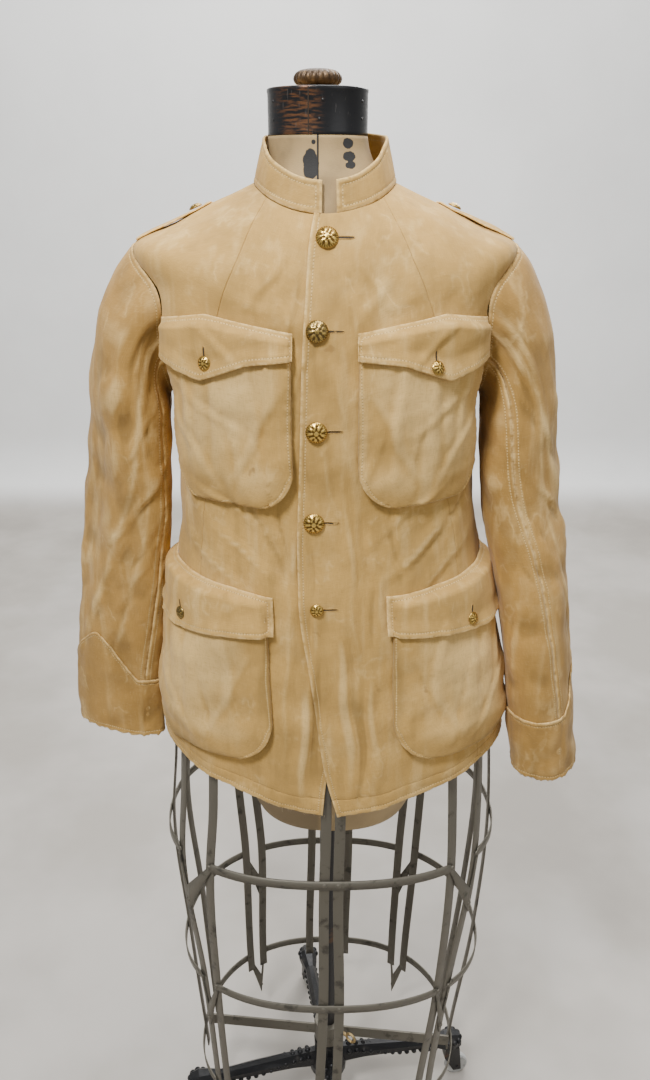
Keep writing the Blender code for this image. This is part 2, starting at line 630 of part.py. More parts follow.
def make_collar():
    """Standing collar: a band from the neckline up to its top edge, open at the front."""
    top = np.array([1.0])
    first = angle_at_offset(top, np.array([COLLAR_LEFT_X]))[0]
    last = angle_at_offset(top, np.array([COLLAR_RIGHT_X]))[0] - 2 * math.pi
    angle = np.linspace(first, last, 25)
    level = np.ones_like(angle)
    base = on_body(angle, level)
    inward = base - on_body(angle, level - 0.01)
    inward /= np.linalg.norm(inward, axis=-1, keepdims=True)
    base = base + inward * 0.0020
    front = np.clip(np.sin(angle), 0, 1) ** 1.5
    back = np.clip(-np.sin(angle), 0, 1) ** 1.5
    side = 1 - front - back

    def blend(table):
        return front * table["front"] + side * table["side"] + back * table["back"]

    radial = np.stack([np.cos(angle), -np.sin(angle), np.zeros_like(angle)], -1)
    share = np.linspace(0, 1, 4)[:, None, None]
    rise = (blend(COLLAR_TOP) - base[:, 2])[None, :, None] * share
    lean = blend(COLLAR_LEAN)[None, :, None] * share ** 1.2
    middle = base[None] + rise * np.array([0.0, 0.0, 1.0]) - radial[None] * lean
    out = grid_normals(middle)
    if np.sum(out * radial[None]) < 0:
        out = -out
    shell("collar", middle + out * COLLAR_CLOTH / 2, middle - out * COLLAR_CLOTH / 2,
          "khaki_body")


def make_straps():
    """Shoulder straps along the shoulder seams, rounded at their buttoned end."""
    for side, word in ((1, "left"), (-1, "right")):
        level = np.linspace(*STRAP_LEVELS, 7)
        end = np.clip((level - STRAP_ROUND_FROM) / (STRAP_LEVELS[1] - STRAP_ROUND_FROM), 0, 1)
        half = STRAP_HALF - STRAP_TAPER * end ** 2
        across = np.linspace(-1, 1, 4)
        y = half[:, None] * across
        rows = np.broadcast_to(level[:, None], y.shape)
        angle = np.zeros_like(y)
        for _ in range(12):
            angle = np.arcsin(np.clip(-y / body_radius(angle, rows), -1, 1))
        if side < 0:
            angle = math.pi - angle
        shell("shoulder_strap_" + word, on_body(angle, rows, LIE + CLOTH / 2),
              on_body(angle, rows, LIE - CLOTH / 2), "khaki_body")


# Sleeves

def armhole_loop(side):
    """Points round the armhole, from the front seam's place over the top to the back,
    with the body's outward direction and the direction into the hole at each."""
    level = body_levels()
    level = level[(level >= UNDERARM - 1e-6) & (level <= SHOULDER + 1e-6)]
    front = armhole_angle(level)
    back = -armhole_angle(level, back=True)
    angle = np.concatenate([front, back[-2:0:-1]])
    rows = np.concatenate([level, level[-2:0:-1]])
    if side < 0:
        angle = math.pi - angle
    points = on_body(angle, rows)
    out = body_normal(angle, rows)
    along = np.roll(points, -1, 0) - np.roll(points, 1, 0)
    into = np.cross(out, along)
    into /= np.linalg.norm(into, axis=-1, keepdims=True)
    middle = points.mean(0)
    into *= np.sign(np.sum(into * (middle - points), -1))[:, None]
    return points, out, into


def sleeve_table(table, column, z):
    """A named column of a sleeve's ring table at any height."""
    rows = table[::-1]
    return smooth_rows(rows[:, 0], rows[:, SLEEVE_COLUMNS.index(column)], z)


def sleeve_ring(table, side, z, place):
    """Oval ring of a sleeve at heights z (one for each point) and places in radians from
    the front seam."""
    angle = np.radians(sleeve_table(table, "seam", z)) + place
    twist = np.radians(sleeve_table(table, "twist", z))
    long_way = np.stack([-side * np.sin(twist), -np.cos(twist), 0 * z], -1)
    short_way = np.stack([side * np.cos(twist), -np.sin(twist), 0 * z], -1)
    fold = np.zeros(np.broadcast(z, place).shape)
    for at, height, reach, width, depth in SLEEVE_FOLDS:
        across = wrap(place - math.radians(at)) / math.radians(width)
        fold = fold + depth * np.exp(-across ** 2 - ((z - height) / reach) ** 2)
    long_half = sleeve_table(table, "long", z) + fold
    short_half = sleeve_table(table, "short", z) + fold
    middle = np.stack([side * sleeve_table(table, "x", z), sleeve_table(table, "y", z), z], -1)
    return (middle + long_way * (long_half * np.cos(angle))[..., None]
            + short_way * (short_half * np.sin(angle))[..., None])


def sleeve_grid(side, rows_cap=4, rows_tube=8):
    """Whole sleeve: rows from the armhole down, columns round from the loop's points."""
    table = LEFT_SLEEVE if side > 0 else RIGHT_SLEEVE
    loop, out, into = armhole_loop(side)
    start = loop + out * (CLOTH / 2 + SEAM) + into * (CLOTH / 2 + 0.0002)
    middle = loop.mean(0)
    reach_y = np.ptp(loop[:, 1]) / 2
    reach_z = np.ptp(loop[:, 2]) / 2
    around = np.arctan2((loop[:, 2] - middle[2]) / reach_z, -(loop[:, 1] - middle[1]) / reach_y)
    place = around - math.radians(SLEEVE_SEAM_TURN)
    top = table[0, 0]
    flat = np.full(len(place), top)
    end = sleeve_ring(table, side, flat, place)
    below = sleeve_ring(table, side, flat - 0.02, place)
    chord = np.linalg.norm(end - start, axis=-1, keepdims=True)
    leave = np.stack([side * (0.75 + 0 * place), 0 * place, -0.45 - 0.25 * np.sin(around)], -1)
    leave[:, 1] = -0.25 * np.cos(around)
    leave /= np.linalg.norm(leave, axis=-1, keepdims=True)
    arrive = (below - end) / np.linalg.norm(below - end, axis=-1, keepdims=True)
    share = np.linspace(0, 1, rows_cap + 1)[:-1, None, None]
    s2, s3 = share ** 2, share ** 3
    cap = ((2 * s3 - 3 * s2 + 1) * start + (s3 - 2 * s2 + share) * leave * chord * 0.9
           + (3 * s2 - 2 * s3) * end + (s3 - s2) * arrive * chord * 1.1)
    heights = np.linspace(top, table[-1, 0], rows_tube + 1)
    tube = np.stack([sleeve_ring(table, side, np.full(len(place), z), place)
                     for z in heights])
    return np.concatenate([cap, tube]), place


def make_sleeves():
    """Two-piece sleeves: an upper over the outer side and an under next to the body."""
    for side, word in ((1, "left"), (-1, "right")):
        grid, place = sleeve_grid(side)
        out = grid_normals(grid, closed=True)
        middle = grid.mean(1, keepdims=True)
        if np.sum(out * (grid - middle)) < 0:
            out = -out
        turn = wrap(place - math.radians(UPPER_MIDDLE))
        order = np.argsort(turn)
        grid, out, turn = grid[:, order], out[:, order], turn[order]
        upper = np.abs(turn) <= math.radians(UPPER_REACH)
        upper_columns = np.flatnonzero(upper)
        first, last = upper_columns[0], upper_columns[-1]
        count = grid.shape[1]
        under_columns = [c % count for c in range(last, first + count + 1)]
        for kind, columns in (("upper", upper_columns), ("under", under_columns)):
            middle_points = grid[:, columns].copy()
            normal = out[:, columns]
            step = middle_points[:, 1] - middle_points[:, 0]
            middle_points[:, 0] += step * (SEAM / np.linalg.norm(step, axis=-1))[:, None]
            step = middle_points[:, -2] - middle_points[:, -1]
            middle_points[:, -1] += step * (SEAM / np.linalg.norm(step, axis=-1))[:, None]
            shell("sleeve_%s_%s" % (kind, word), middle_points + normal * CLOTH / 2,
                  middle_points - normal * CLOTH / 2, "khaki_sleeve")
        make_cuff(side, word, place)


def make_cuff(side, word, place):
    """Pointed cuff laid over the sleeve's end, all the way round."""
    table = LEFT_SLEEVE if side > 0 else RIGHT_SLEEVE
    foot = table[-1, 0]
    away = np.abs(wrap(place - math.radians(CUFF_PEAK_AT))) / math.radians(CUFF_PEAK_WIDTH)
    peak = np.clip(1 - away, 0, 1)
    top = foot + CUFF_UNDER + (CUFF_PEAK - CUFF_UNDER) * peak
    share = np.linspace(0, 1, 4)
    rows = []
    for part in share:
        z = foot + 0.0004 + (top - foot) * part
        rows.append(sleeve_ring(table, side, z, place))
    grid = np.stack(rows)
    out = grid_normals(grid, closed=True)
    if np.sum(out * (grid - grid.mean(1, keepdims=True))) < 0:
        out = -out
    lift = LIE + 0.0006
    shell("cuff_" + word, grid + out * (lift + CLOTH / 2), grid + out * (lift - CLOTH / 2),
          "khaki_sleeve", closed=True)


# Buttons

def make_button(name, point, out, radius):
    """Domed button: a turned profile set on the cloth, facing outwards."""
    out = out / np.linalg.norm(out)
    sides = 10
    rise = BUTTON_RISE * radius / LARGE_BUTTON
    side_way = np.cross(out, (0.0, 0.0, 1.0))
    if np.linalg.norm(side_way) < 0.2:
        side_way = np.cross(out, (0.0, 1.0, 0.0))
    side_way /= np.linalg.norm(side_way)
    up_way = np.cross(side_way, out)
    turn = np.arange(sides) * 2 * math.pi / sides
    rows = []
    for wide, high in BUTTON_PROFILE:
        rows.append(point + radius * wide * (np.cos(turn)[:, None] * side_way
                                             + np.sin(turn)[:, None] * up_way)
                    + out * (high * rise))
    skin(name, rows, "brass")


def make_buttons():
    """Five down the front, one on each pocket flap and one on each shoulder strap."""
    for number, (arc, z) in enumerate(FRONT_BUTTONS, 1):
        radius = SMALL_BUTTON if number == 5 else LARGE_BUTTON
        angle, level = spot(np.array([arc]), np.array([z]))
        point = on_cloth(np.array([arc]), np.array([z]), np.array([BUTTON_SEAT]))[0]
        make_button("button_front_%d" % number, point, body_normal(angle, level)[0], radius)
    pockets = {"chest": (CHEST_FLAP, CHEST_POCKET), "hip": (HIP_FLAP, HIP_POCKET)}
    for kind, left_arc, left_z, right_arc, right_z, stand_off in FLAP_BUTTONS:
        for side, word, arc, z in ((1, "left", left_arc, left_z),
                                   (-1, "right", right_arc, right_z)):
            point, out = flap_place(*pockets[kind], side, arc, z, CLOTH / 2 + stand_off)
            make_button("button_%s_%s" % (kind, word), point, out, SMALL_BUTTON)
    for side, word in ((1, "left"), (-1, "right")):
        level = np.array([STRAP_BUTTON_LEVEL])
        angle = np.array([0.0 if side > 0 else math.pi])
        point = on_body(angle, level, LIE + BUTTON_SEAT)[0]
        make_button("button_strap_" + word, point, body_normal(angle, level)[0],
                    SMALL_BUTTON)


def flap_place(flap, pocket, side, arc, z, lift):
    """Point over a flap and the flap's outward direction there."""
    def near(along, up, over=0.0):
        a, h = np.array([arc + along]), np.array([z + up])
        return on_cloth(side * a, h, flap_rise(flap, pocket, a, h) + over)[0]

    step = 0.004
    out = np.cross(near(step, 0) - near(-step, 0), near(0, step) - near(0, -step))
    return near(0, 0, lift), out * np.sign(-out[1])


# Dress form

def form_point(angle, level):
    """The form's own surface: the coat's body drawn in."""
    inset = smooth_rows(FORM_INSET[:, 0], FORM_INSET[:, 1], level)
    return body_base(angle, level) - body_normal(angle, level) * inset[..., None]


def form_angles(level):
    """Columns of the form at a level: flat across the armhole, close on its ridges."""
    level = np.array([level])
    front = max(float(armhole_angle(level)[0]), math.radians(3))
    back = max(float(armhole_angle(level, back=True)[0]), math.radians(3))
    seam = float(seam_angle(level)[0])
    side = np.linspace(front, seam, 5)
    middle = np.linspace(seam, math.pi - seam, 11)
    rear = np.linspace(math.pi + back, 2 * math.pi - back, 17)
    return np.concatenate([side[:-1], middle[:-1], (math.pi - side)[::-1], rear])


def make_form():
    """Smooth whole body of the form with its neck, hollow only where the post goes in."""
    turn = form_angles(0.10)
    sides = len(turn)
    bore = POST_RADIUS + SLIDE_FIT
    rows = [np.stack([HUB_X + r * np.cos(turn), HUB_Y - r * np.sin(turn),
                      np.full(sides, z)], -1)
            for r, z in ((bore, POST_TOP + 0.004), (bore, FORM_FOOT[-1][0]))]
    for z, wide, front, back in FORM_FOOT[::-1]:
        depth = np.where(np.sin(turn) > 0, front, back)
        radius = oval_radius(turn, wide, depth, 2.3)
        rows.append(np.stack([0.010 + radius * np.cos(turn), -radius * np.sin(turn),
                              np.full(sides, z)], -1))
    cloth_rows = body_levels()
    hole = cloth_rows[(cloth_rows >= UNDERARM - 1e-6) & (cloth_rows <= SHOULDER + 1e-6)]
    for level in np.concatenate([np.linspace(0.10, 0.58, 5), hole[::2],
                                 cloth_rows[cloth_rows > SHOULDER + 1e-6]]):
        rows.append(form_point(form_angles(level), np.full(sides, level)))
    for z, radius, x, y in FORM_NECK:
        rows.append(np.stack([x + radius * np.cos(turn), y - radius * np.sin(turn),
                              np.full(sides, z)], -1))
    inner = BAND_RADIUS - BAND_WALL - 0.0008
    for radius, z in ((inner, BAND_LOW - 0.0003), (inner, BAND_TOP - 0.002)):
        rows.append(np.stack([NECK_X + radius * np.cos(turn), NECK_Y - radius * np.sin(turn),
                              np.full(sides, z)], -1))
    skin("form_body", rows, "form_canvas")


def make_neck_band():
    """Japanned band round the neck, with the knob on top."""
    sides = 28
    turn = np.arange(sides) * 2 * math.pi / sides
    heights = (BAND_LOW, BAND_TOP)

    def wall(radius):
        return np.stack([np.stack([NECK_X + radius * np.cos(turn), NECK_Y - radius * np.sin(turn),
                                   np.full(sides, z)], -1) for z in heights])

    shell("neck_band", wall(BAND_RADIUS), wall(BAND_RADIUS - BAND_WALL), "black_metal",
          closed=True)
    sides = KNOB_LOBES * 2
    turn = np.arange(sides) * 2 * math.pi / sides
    lobes = 1 + 0.03 * np.cos(KNOB_LOBES * turn)
    rows = []
    for wide, z, lobed in KNOB_PROFILE:
        radius = wide * (lobes if lobed else np.ones(sides))
        rows.append(np.stack([NECK_X + radius * np.cos(turn), NECK_Y + radius * np.sin(turn),
                              np.full(sides, z)], -1))
    skin("neck_knob", rows, "bronze_knob")


# Cage skirt

def cage_oval(angle, z):
    """Middle of the strap iron at an angle and a height, and its outward direction."""
    angle, z = np.broadcast_arrays(np.asarray(angle, float), np.asarray(z, float))

    def column(index):
        return smooth_rows(CAGE_OVALS[:, 0], CAGE_OVALS[:, index], z)

    def place(turn):
        depth = np.where(np.sin(turn) > 0, column(2), column(3))
        radius = oval_radius(turn, column(1), depth, 2.35)
        return np.stack([column(4) + radius * np.cos(turn), -radius * np.sin(turn), z], -1)

    step = 1e-3
    along = place(angle + step) - place(angle - step)
    out = np.stack([-along[..., 1], along[..., 0], np.zeros_like(z)], -1)
    out /= np.linalg.norm(out, axis=-1, keepdims=True)
    return place(angle), out, along / (2 * step)


def form_seat(angle):
    """Where a strap's top lies against the form, at the two rivet heights."""
    seats = []
    for level in (0.100, 0.124):
        base = form_point(angle, np.full(angle.shape, level))
        out = body_normal(angle, np.full(angle.shape, level))
        seats.append((base + out * FORM_OFF, out))
    return seats


def with_plate(edges):
    """The four edges of two straps, with two more columns between for their plate."""
    first, second, third, last = edges
    step = (third - second) / 3
    return np.array([first, second, second + step, third - step, third, last])


def make_straps_pair(name, pair):
    """Two upright straps joined at the top by the plate riveted to the form."""
    heights = np.linspace(STRUT_FOOT, CAGE_OVALS[-1, 0], 9)
    knots = np.array(HEIGHT_COLUMNS[::-1])
    first, second = (np.array(row[::-1]) for row in pair)
    if second.mean() < first.mean():
        first, second = second, first
    outer, inner = [], []
    for z in heights:
        edges = []
        for row in (first, second):
            middle = np.radians(smooth_rows(knots, row, np.array([z])))[0]
            _, _, along = cage_oval(np.array([middle]), np.array([z]))
            half = STRAP_WIDE / 2 / np.linalg.norm(along[0])
            edges += [middle - half, middle + half]
        edges = with_plate(edges)
        point, out, _ = cage_oval(edges, np.full(6, z))
        outer.append(point + out * STRAP_THICK / 2)
        inner.append(point - out * STRAP_THICK / 2)
    tops = np.radians(np.array([first[-1], second[-1]]))
    half = STRAP_WIDE / 2 / 0.19
    edges = with_plate([tops[0] - half, tops[0] + half, tops[1] - half, tops[1] + half])
    for point, out in form_seat(edges):
        outer.append(point + out * STRAP_THICK / 2)
        inner.append(point - out * STRAP_THICK / 2)
    rows = len(outer)
    mask = np.ones((rows - 1, 5), bool)
    mask[:-1, 1:4] = False
    shell(name, np.stack(outer), np.stack(inner), "strap_iron", mask=mask)


def ring_edges(angle, z, corners):
    """Top and lower edge of a ring, with a steep link hanging between paired straps."""
    low = np.full(angle.shape, z - RING_TALL / 2)
    top = np.full(angle.shape, z + RING_TALL / 2)
    for first, bottom, last in corners:
        marks = (first, bottom, last)
        inside = (angle > first) & (angle < last)
        dip = np.interp(angle, marks, (0.0, 1.0, 0.0))
        low = np.where(inside, z - RING_TALL / 2 - LINK_DROP * dip, low)
        top = np.where(inside, z + RING_TALL / 2 - (LINK_DROP - 0.030) * dip, top)
    return top, low


def make_ring(name, z):
    """Flat hoop outside the upright straps, one closed band."""
    knots = np.array(HEIGHT_COLUMNS[::-1])
    corners = []
    for key in ("cage_straps_front_left", "cage_straps_front_right",
                "cage_straps_back_left", "cage_straps_back_right"):
        at = [float(smooth_rows(knots, np.array(row[::-1], float), np.array([z]))[0])
              for row in STRUT_PAIRS[key]]
        low, high = sorted(at)
        low, high = low - 1.0, high + 1.0
        bottom = low + 0.25 * (high - low) if "left" in key else low + 0.75 * (high - low)
        corners.append((low, bottom, high))
    marks = sorted(angle for corner in corners for angle in corner)
    turn = np.unique(np.concatenate([np.arange(-70.0, 290.0, 10.0), marks]))
    near = np.array([any(0 < abs(a - m) < 1.6 for m in marks) for a in turn])
    turn = turn[~near]
    top, low = ring_edges(turn, z, corners)
    outer, inner = [], []
    for edge in (low, top):
        point, out, _ = cage_oval(np.radians(turn), edge)
        outer.append(point + out * (RING_OFF + RING_THICK))
        inner.append(point + out * RING_OFF)
    shell(name, np.stack(outer), np.stack(inner), "strap_iron", closed=True)


def make_cage():
    """Eight pairs of upright straps and three rings."""
    for name, pair in STRUT_PAIRS.items():
        make_straps_pair(name, pair)
    for word, z in zip(("high", "middle", "low"), RING_HEIGHTS):
        make_ring("cage_ring_" + word, z)


# Stand

def union(target, tools, operation="UNION"):
    """Join or cut with other closed shapes, then remove them."""
    for tool in tools:
        step = target.modifiers.new("join", "BOOLEAN")
        step.operation = operation
        step.solver = "EXACT"
        step.object = tool
        deps = bpy.context.evaluated_depsgraph_get()
        mesh = bpy.data.meshes.new_from_object(target.evaluated_get(deps))
        target.modifiers.clear()
        target.data = mesh
        bpy.data.objects.remove(tool, do_unlink=True)
    return target


def rod(name, start, stop, radius, sides, finish):
    """Straight round rod between two points."""
    start, stop = np.asarray(start, float), np.asarray(stop, float)
    way = (stop - start) / np.linalg.norm(stop - start)
    helper = np.array((0.0, 0.0, 1.0)) if abs(way[2]) < 0.9 else np.array((1.0, 0.0, 0.0))
    first = np.cross(way, helper)
    first /= np.linalg.norm(first)
    second = np.cross(way, first)
    turn = np.arange(sides) * 2 * math.pi / sides
    circle = radius * (np.cos(turn)[:, None] * first + np.sin(turn)[:, None] * second)
    return skin(name, [start + circle, stop + circle], finish)


def leg_rows(angle):
    """Oval sections of one cast leg, from inside the hub out to its knuckle."""
    way = np.array((math.cos(angle), math.sin(angle), 0.0))
    across = np.array((-math.sin(angle), math.cos(angle), 0.0))
    up = np.array((0.0, 0.0, 1.0))
    centre = np.array((HUB_X, HUB_Y, 0.0))
    turn = (np.arange(8) + 0.5) * 2 * math.pi / 8
    rows = []
    for reach, z, wide, tall in LEG_SECTIONS:
        middle = centre + way * reach + up * z
        rows.append(middle + across * (wide * np.cos(turn))[:, None]
                    + up * (tall * np.sin(turn))[:, None])
    return rows


def make_base():
    """Cast base: a turned hub with four legs, drilled for the post."""
    hub = skin("stand_base", turned(HUB_PROFILE, 20, (HUB_X, HUB_Y)), "cast_iron")
    legs = []
    for number in range(LEG_COUNT):
        angle = math.radians(LEG_TURN + 90.0 * number)
        legs.append(skin("leg_tool", leg_rows(angle), "cast_iron"))
    union(hub, legs)
    flats = []
    for number in range(LEG_COUNT):
        x, y = knuckle_place(number)
        flats.append(rod("flat_tool", (x, y, 0.040), (x, y, KNUCKLE_LOW + 0.004), 0.021, 12,
                         "cast_iron"))
    union(hub, flats, "DIFFERENCE")
    drill = rod("drill_tool", (HUB_X, HUB_Y, 0.075), (HUB_X, HUB_Y, 0.20),
                POST_RADIUS + SEAM, 20, "cast_iron")
    union(hub, [drill], "DIFFERENCE")
    rod("stand_post", (HUB_X, HUB_Y, 0.0755), (HUB_X, HUB_Y, POST_TOP), POST_RADIUS, 20,
        "black_metal")


def knuckle_place(number):
    """Middle of a leg's end."""
    angle = math.radians(LEG_TURN + 90.0 * number)
    return HUB_X + LEG_REACH * math.cos(angle), HUB_Y + LEG_REACH * math.sin(angle)


def make_casters():
    """Swivel fork and wheel under each leg's end, trailing outwards."""
    for number in range(LEG_COUNT):
        x, y = knuckle_place(number)
        angle = math.radians(LEG_TURN + 90.0 * number)
        way = np.array((math.cos(angle), math.sin(angle), 0.0))
        across = np.array((-math.sin(angle), math.cos(angle), 0.0))
        up = np.array((0.0, 0.0, 1.0))
        seat = KNUCKLE_LOW + 0.004 - SEAM
        centre = np.array((x, y, 0.0))
        axle = centre + way * CASTER_TRAIL + up * WHEEL_RADIUS
        inside = WHEEL_WIDE / 2 + 0.0012
        outside = inside + FORK_PLATE
        under = 2 * WHEEL_RADIUS + 0.0030
        outline = ((-outside, 0.0), (-outside, 1.0), (outside, 1.0), (outside, 0.0),
                   (inside, 0.0), (inside, 0.6), (-inside, 0.6), (-inside, 0.0))
        rows = []
        for along_top, along_low in ((-0.011, -0.007), (0.014, 0.007)):
            ring_points = []
            for offset, high in outline:
                if high == 0.0:
                    place = axle + way * along_low - up * 0.007
                elif high == 1.0:
                    place = centre + way * along_top + up * seat
                else:
                    place = centre + way * along_top + up * under
                ring_points.append(place + across * offset)
            rows.append(np.array(ring_points))
        fork = prism("caster_fork_%d" % (number + 1), rows, "black_metal")
        pin = rod("pin_tool", axle - across * (outside + 0.001),
                  axle + across * (outside + 0.001), AXLE_RADIUS, 8, "black_metal")
        union(fork, [pin])
        make_wheel("caster_wheel_%d" % (number + 1), axle, across)


def prism(name, rows, finish):
    """Solid between two copies of one outline, its ends filled by one face each."""
    columns = len(rows[0])
    points = np.concatenate(rows)
    faces = [(c, (c + 1) % columns, columns + (c + 1) % columns, columns + c)
             for c in range(columns)]
    faces.append(tuple(range(columns)))
    faces.append(tuple(range(columns, 2 * columns)))
    return add_object(name, points, faces, finish)


def make_wheel(name, axle, across):
    """Wheel turned round its axle, with a bored middle."""
    sides = 20
    bore = AXLE_RADIUS + SEAM
    half = WHEEL_WIDE / 2
    profile = ((bore, -half), (WHEEL_RADIUS - 0.002, -half), (WHEEL_RADIUS, -half + 0.003),
               (WHEEL_RADIUS, half - 0.003), (WHEEL_RADIUS - 0.002, half), (bore, half))
    up = np.array((0.0, 0.0, 1.0))
    way = np.cross(across, up)
    turn = (np.arange(sides) + 0.5) * 2 * math.pi / sides
    circle = np.cos(turn)[:, None] * way + np.sin(turn)[:, None] * up
    rows = [axle + circle * radius + across * offset for radius, offset in profile]
    points = np.concatenate(rows)
    faces = []
    count = len(profile)
    for r in range(count):
        s = (r + 1) % count
        for c in range(sides):
            d = (c + 1) % sides
            faces.append((r * sides + c, r * sides + d, s * sides + d, s * sides + c))
    add_object(name, points, faces, "caster_wheel")


def make_cross_bar():
    """Flat bar across the cage's foot with the clamp that grips the post."""
    clamp = skin("cross_bar", turned(((0.006, CLAMP_LOW), (CLAMP_RADIUS, CLAMP_LOW),
                                      (CLAMP_RADIUS, CLAMP_TOP), (0.006, CLAMP_TOP)), 20,
                                     (HUB_X, HUB_Y)), "strap_iron")
    angle = math.radians(BAR_TURN)
    across = np.array((-math.sin(angle), math.cos(angle), 0.0))
    up = np.array((0.0, 0.0, 1.0))
    ends = []
    for way in (-1, 1):
        turn = math.radians(BAR_TURN) if way > 0 else math.radians(BAR_TURN) + math.pi
        point, out, _ = cage_oval(np.array([-turn]), np.array([0.155]))
        ends.append(point[0] - out[0] * (STRAP_THICK / 2 + 0.0008))
    rows = []
    for end in ends:
        rows.append(np.array([end + across * a + up * b for a, b in
                              ((-0.0015, -0.010), (0.0015, -0.010), (0.0015, 0.010),
                               (-0.0015, 0.010))]))
    bar = prism("bar_tool", rows, "strap_iron")
    union(clamp, [bar])
    drill = rod("drill_tool", (HUB_X, HUB_Y, 0.10), (HUB_X, HUB_Y, 0.20),
                POST_RADIUS + SLIDE_FIT, 20, "strap_iron")
    union(clamp, [drill], "DIFFERENCE")


def make_eye_screw():
    """Eye screw that tightens the clamp on the post."""
    angle = math.radians(EYE_TURN)
    way = np.array((math.cos(angle), math.sin(angle), 0.0))
    across = np.array((-math.sin(angle), math.cos(angle), 0.0))
    up = np.array((0.0, 0.0, 1.0))
    centre = np.array((HUB_X, HUB_Y, 0.164))
    start = centre + way * (CLAMP_RADIUS + SEAM)
    shank_end = centre + way * (CLAMP_RADIUS + 0.016)
    screw = rod("eye_screw", start, shank_end, 0.0028, 8, "brass")
    middle = centre + way * (CLAMP_RADIUS + 0.016 + 0.0075)
    major, minor = 0.0080, 0.0020
    big = np.arange(14) * 2 * math.pi / 14
    small = np.arange(6) * 2 * math.pi / 6
    points, faces = [], []
    for a in big:
        radial = way * math.cos(a) + up * math.sin(a)
        for b in small:
            points.append(middle + radial * (major + minor * math.cos(b))
                          + across * (minor * math.sin(b)))
    for i in range(14):
        for j in range(6):
            k, m = (i + 1) % 14, (j + 1) % 6
            faces.append((i * 6 + j, k * 6 + j, k * 6 + m, i * 6 + m))
    union(screw, [add_object("eye_tool", points, faces, "brass")])


def stand_over_origin():
    """Shift every mesh so that the middle of the part's box stands over X = Y = 0."""
    shift = Matrix.Translation((-PART_MIDDLE[0], -PART_MIDDLE[1], 0.0))
    for thing in bpy.data.objects:
        thing.data.transform(shift)


def main():
    clear_scene()
    make_body()
    make_pockets()
    make_collar()
    make_straps()
    make_sleeves()
    make_buttons()
    make_form()
    make_neck_band()
    make_cage()
    make_base()
    make_casters()
    make_cross_bar()
    make_eye_screw()
    stand_over_origin()


main()
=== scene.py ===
"""Looks for a khaki cotton uniform coat on a limbless dress form with a caged stand.

The frame gives the solids.  Each cloth piece here is a thin wall on its own fine grid, made
from the same body surface as its solid: an angle round the body and a level from hem (0) to
neckline (1), with the main creases listed one by one.  "Left" and "right" are the wearer's.
"""
import math

import bpy
import numpy as np
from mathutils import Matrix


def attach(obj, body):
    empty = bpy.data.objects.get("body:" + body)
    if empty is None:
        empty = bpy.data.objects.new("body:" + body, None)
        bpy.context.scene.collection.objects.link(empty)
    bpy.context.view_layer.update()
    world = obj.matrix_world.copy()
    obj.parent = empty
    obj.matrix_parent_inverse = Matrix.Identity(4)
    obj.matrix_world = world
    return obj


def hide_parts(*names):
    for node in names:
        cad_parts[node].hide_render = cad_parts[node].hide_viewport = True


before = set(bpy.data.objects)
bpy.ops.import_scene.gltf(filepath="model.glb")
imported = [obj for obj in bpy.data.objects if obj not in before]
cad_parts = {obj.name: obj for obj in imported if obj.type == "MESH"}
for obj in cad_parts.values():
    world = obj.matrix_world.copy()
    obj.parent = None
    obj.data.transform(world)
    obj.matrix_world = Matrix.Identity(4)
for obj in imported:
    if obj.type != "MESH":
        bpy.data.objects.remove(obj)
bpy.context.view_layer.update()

bl_info = {
    "name": "Uniform coat on a dress form",
    "version": (1, 0, 0),
    "blender": (4, 5, 0),
    "location": "3D View > Sidebar > Coat",
    "description": "Builds a khaki uniform coat, its dress form, cage and stand",
    "category": "Add Mesh",
}

MM = 0.001
CLOTH = 1.6 * MM
COLLAR_CLOTH = 2.4 * MM
LIE = CLOTH + 0.15 * MM         # middle of a piece over the middle of what it lies on
LAP_LIFT = 2.7 * MM
# The sizes below are measured from the coat's middle line; the part's own middle, as seen
# from above, stands over the origin
PART_MIDDLE = np.array((-0.01086, 0.00300, 0.0))

# Body surface, a row for each ring of cloth from the hem up
RING_COLUMNS = ("level", "side_z", "front_z", "back_z", "half_width", "front_depth",
                "back_depth", "centre_x", "roundness", "armhole_x")
BODY_RINGS = np.array((
    (0.00, 0.782, 0.722, 0.760, 0.2270, 0.150, 0.163, 0.012, 2.30, 0.2270),
    (0.10, 0.835, 0.803, 0.820, 0.2225, 0.147, 0.158, 0.011, 2.35, 0.2225),
    (0.22, 0.905, 0.892, 0.900, 0.2070, 0.143, 0.146, 0.008, 2.50, 0.2070),
    (0.36, 1.000, 0.995, 0.998, 0.1905, 0.137, 0.117, 0.006, 2.45, 0.1905),
    (0.48, 1.090, 1.088, 1.088, 0.1765, 0.131, 0.096, 0.003, 2.45, 0.1765),
    (0.58, 1.165, 1.163, 1.163, 0.1730, 0.131, 0.099, 0.001, 2.50, 0.1730),
    (0.66, 1.225, 1.216, 1.222, 0.1740, 0.132, 0.108, 0.000, 2.55, 0.1740),
    (0.75, 1.295, 1.270, 1.285, 0.1870, 0.130, 0.112, 0.000, 2.50, 0.1755),
    (0.83, 1.352, 1.310, 1.335, 0.1990, 0.125, 0.107, 0.000, 2.40, 0.1775),
    (0.88, 1.386, 1.337, 1.367, 0.2080, 0.119, 0.098, 0.000, 2.30, 0.2080),
    (0.93, 1.409, 1.368, 1.394, 0.1600, 0.110, 0.085, 0.000, 2.20, 0.1600),
    (0.97, 1.430, 1.397, 1.422, 0.1120, 0.098, 0.072, 0.000, 2.15, 0.1120),
    (1.00, 1.447, 1.4185, 1.448, 0.0760, 0.085, 0.062, 0.000, 2.10, 0.0760),
))
UNDERARM, SHOULDER = 0.66, 0.88

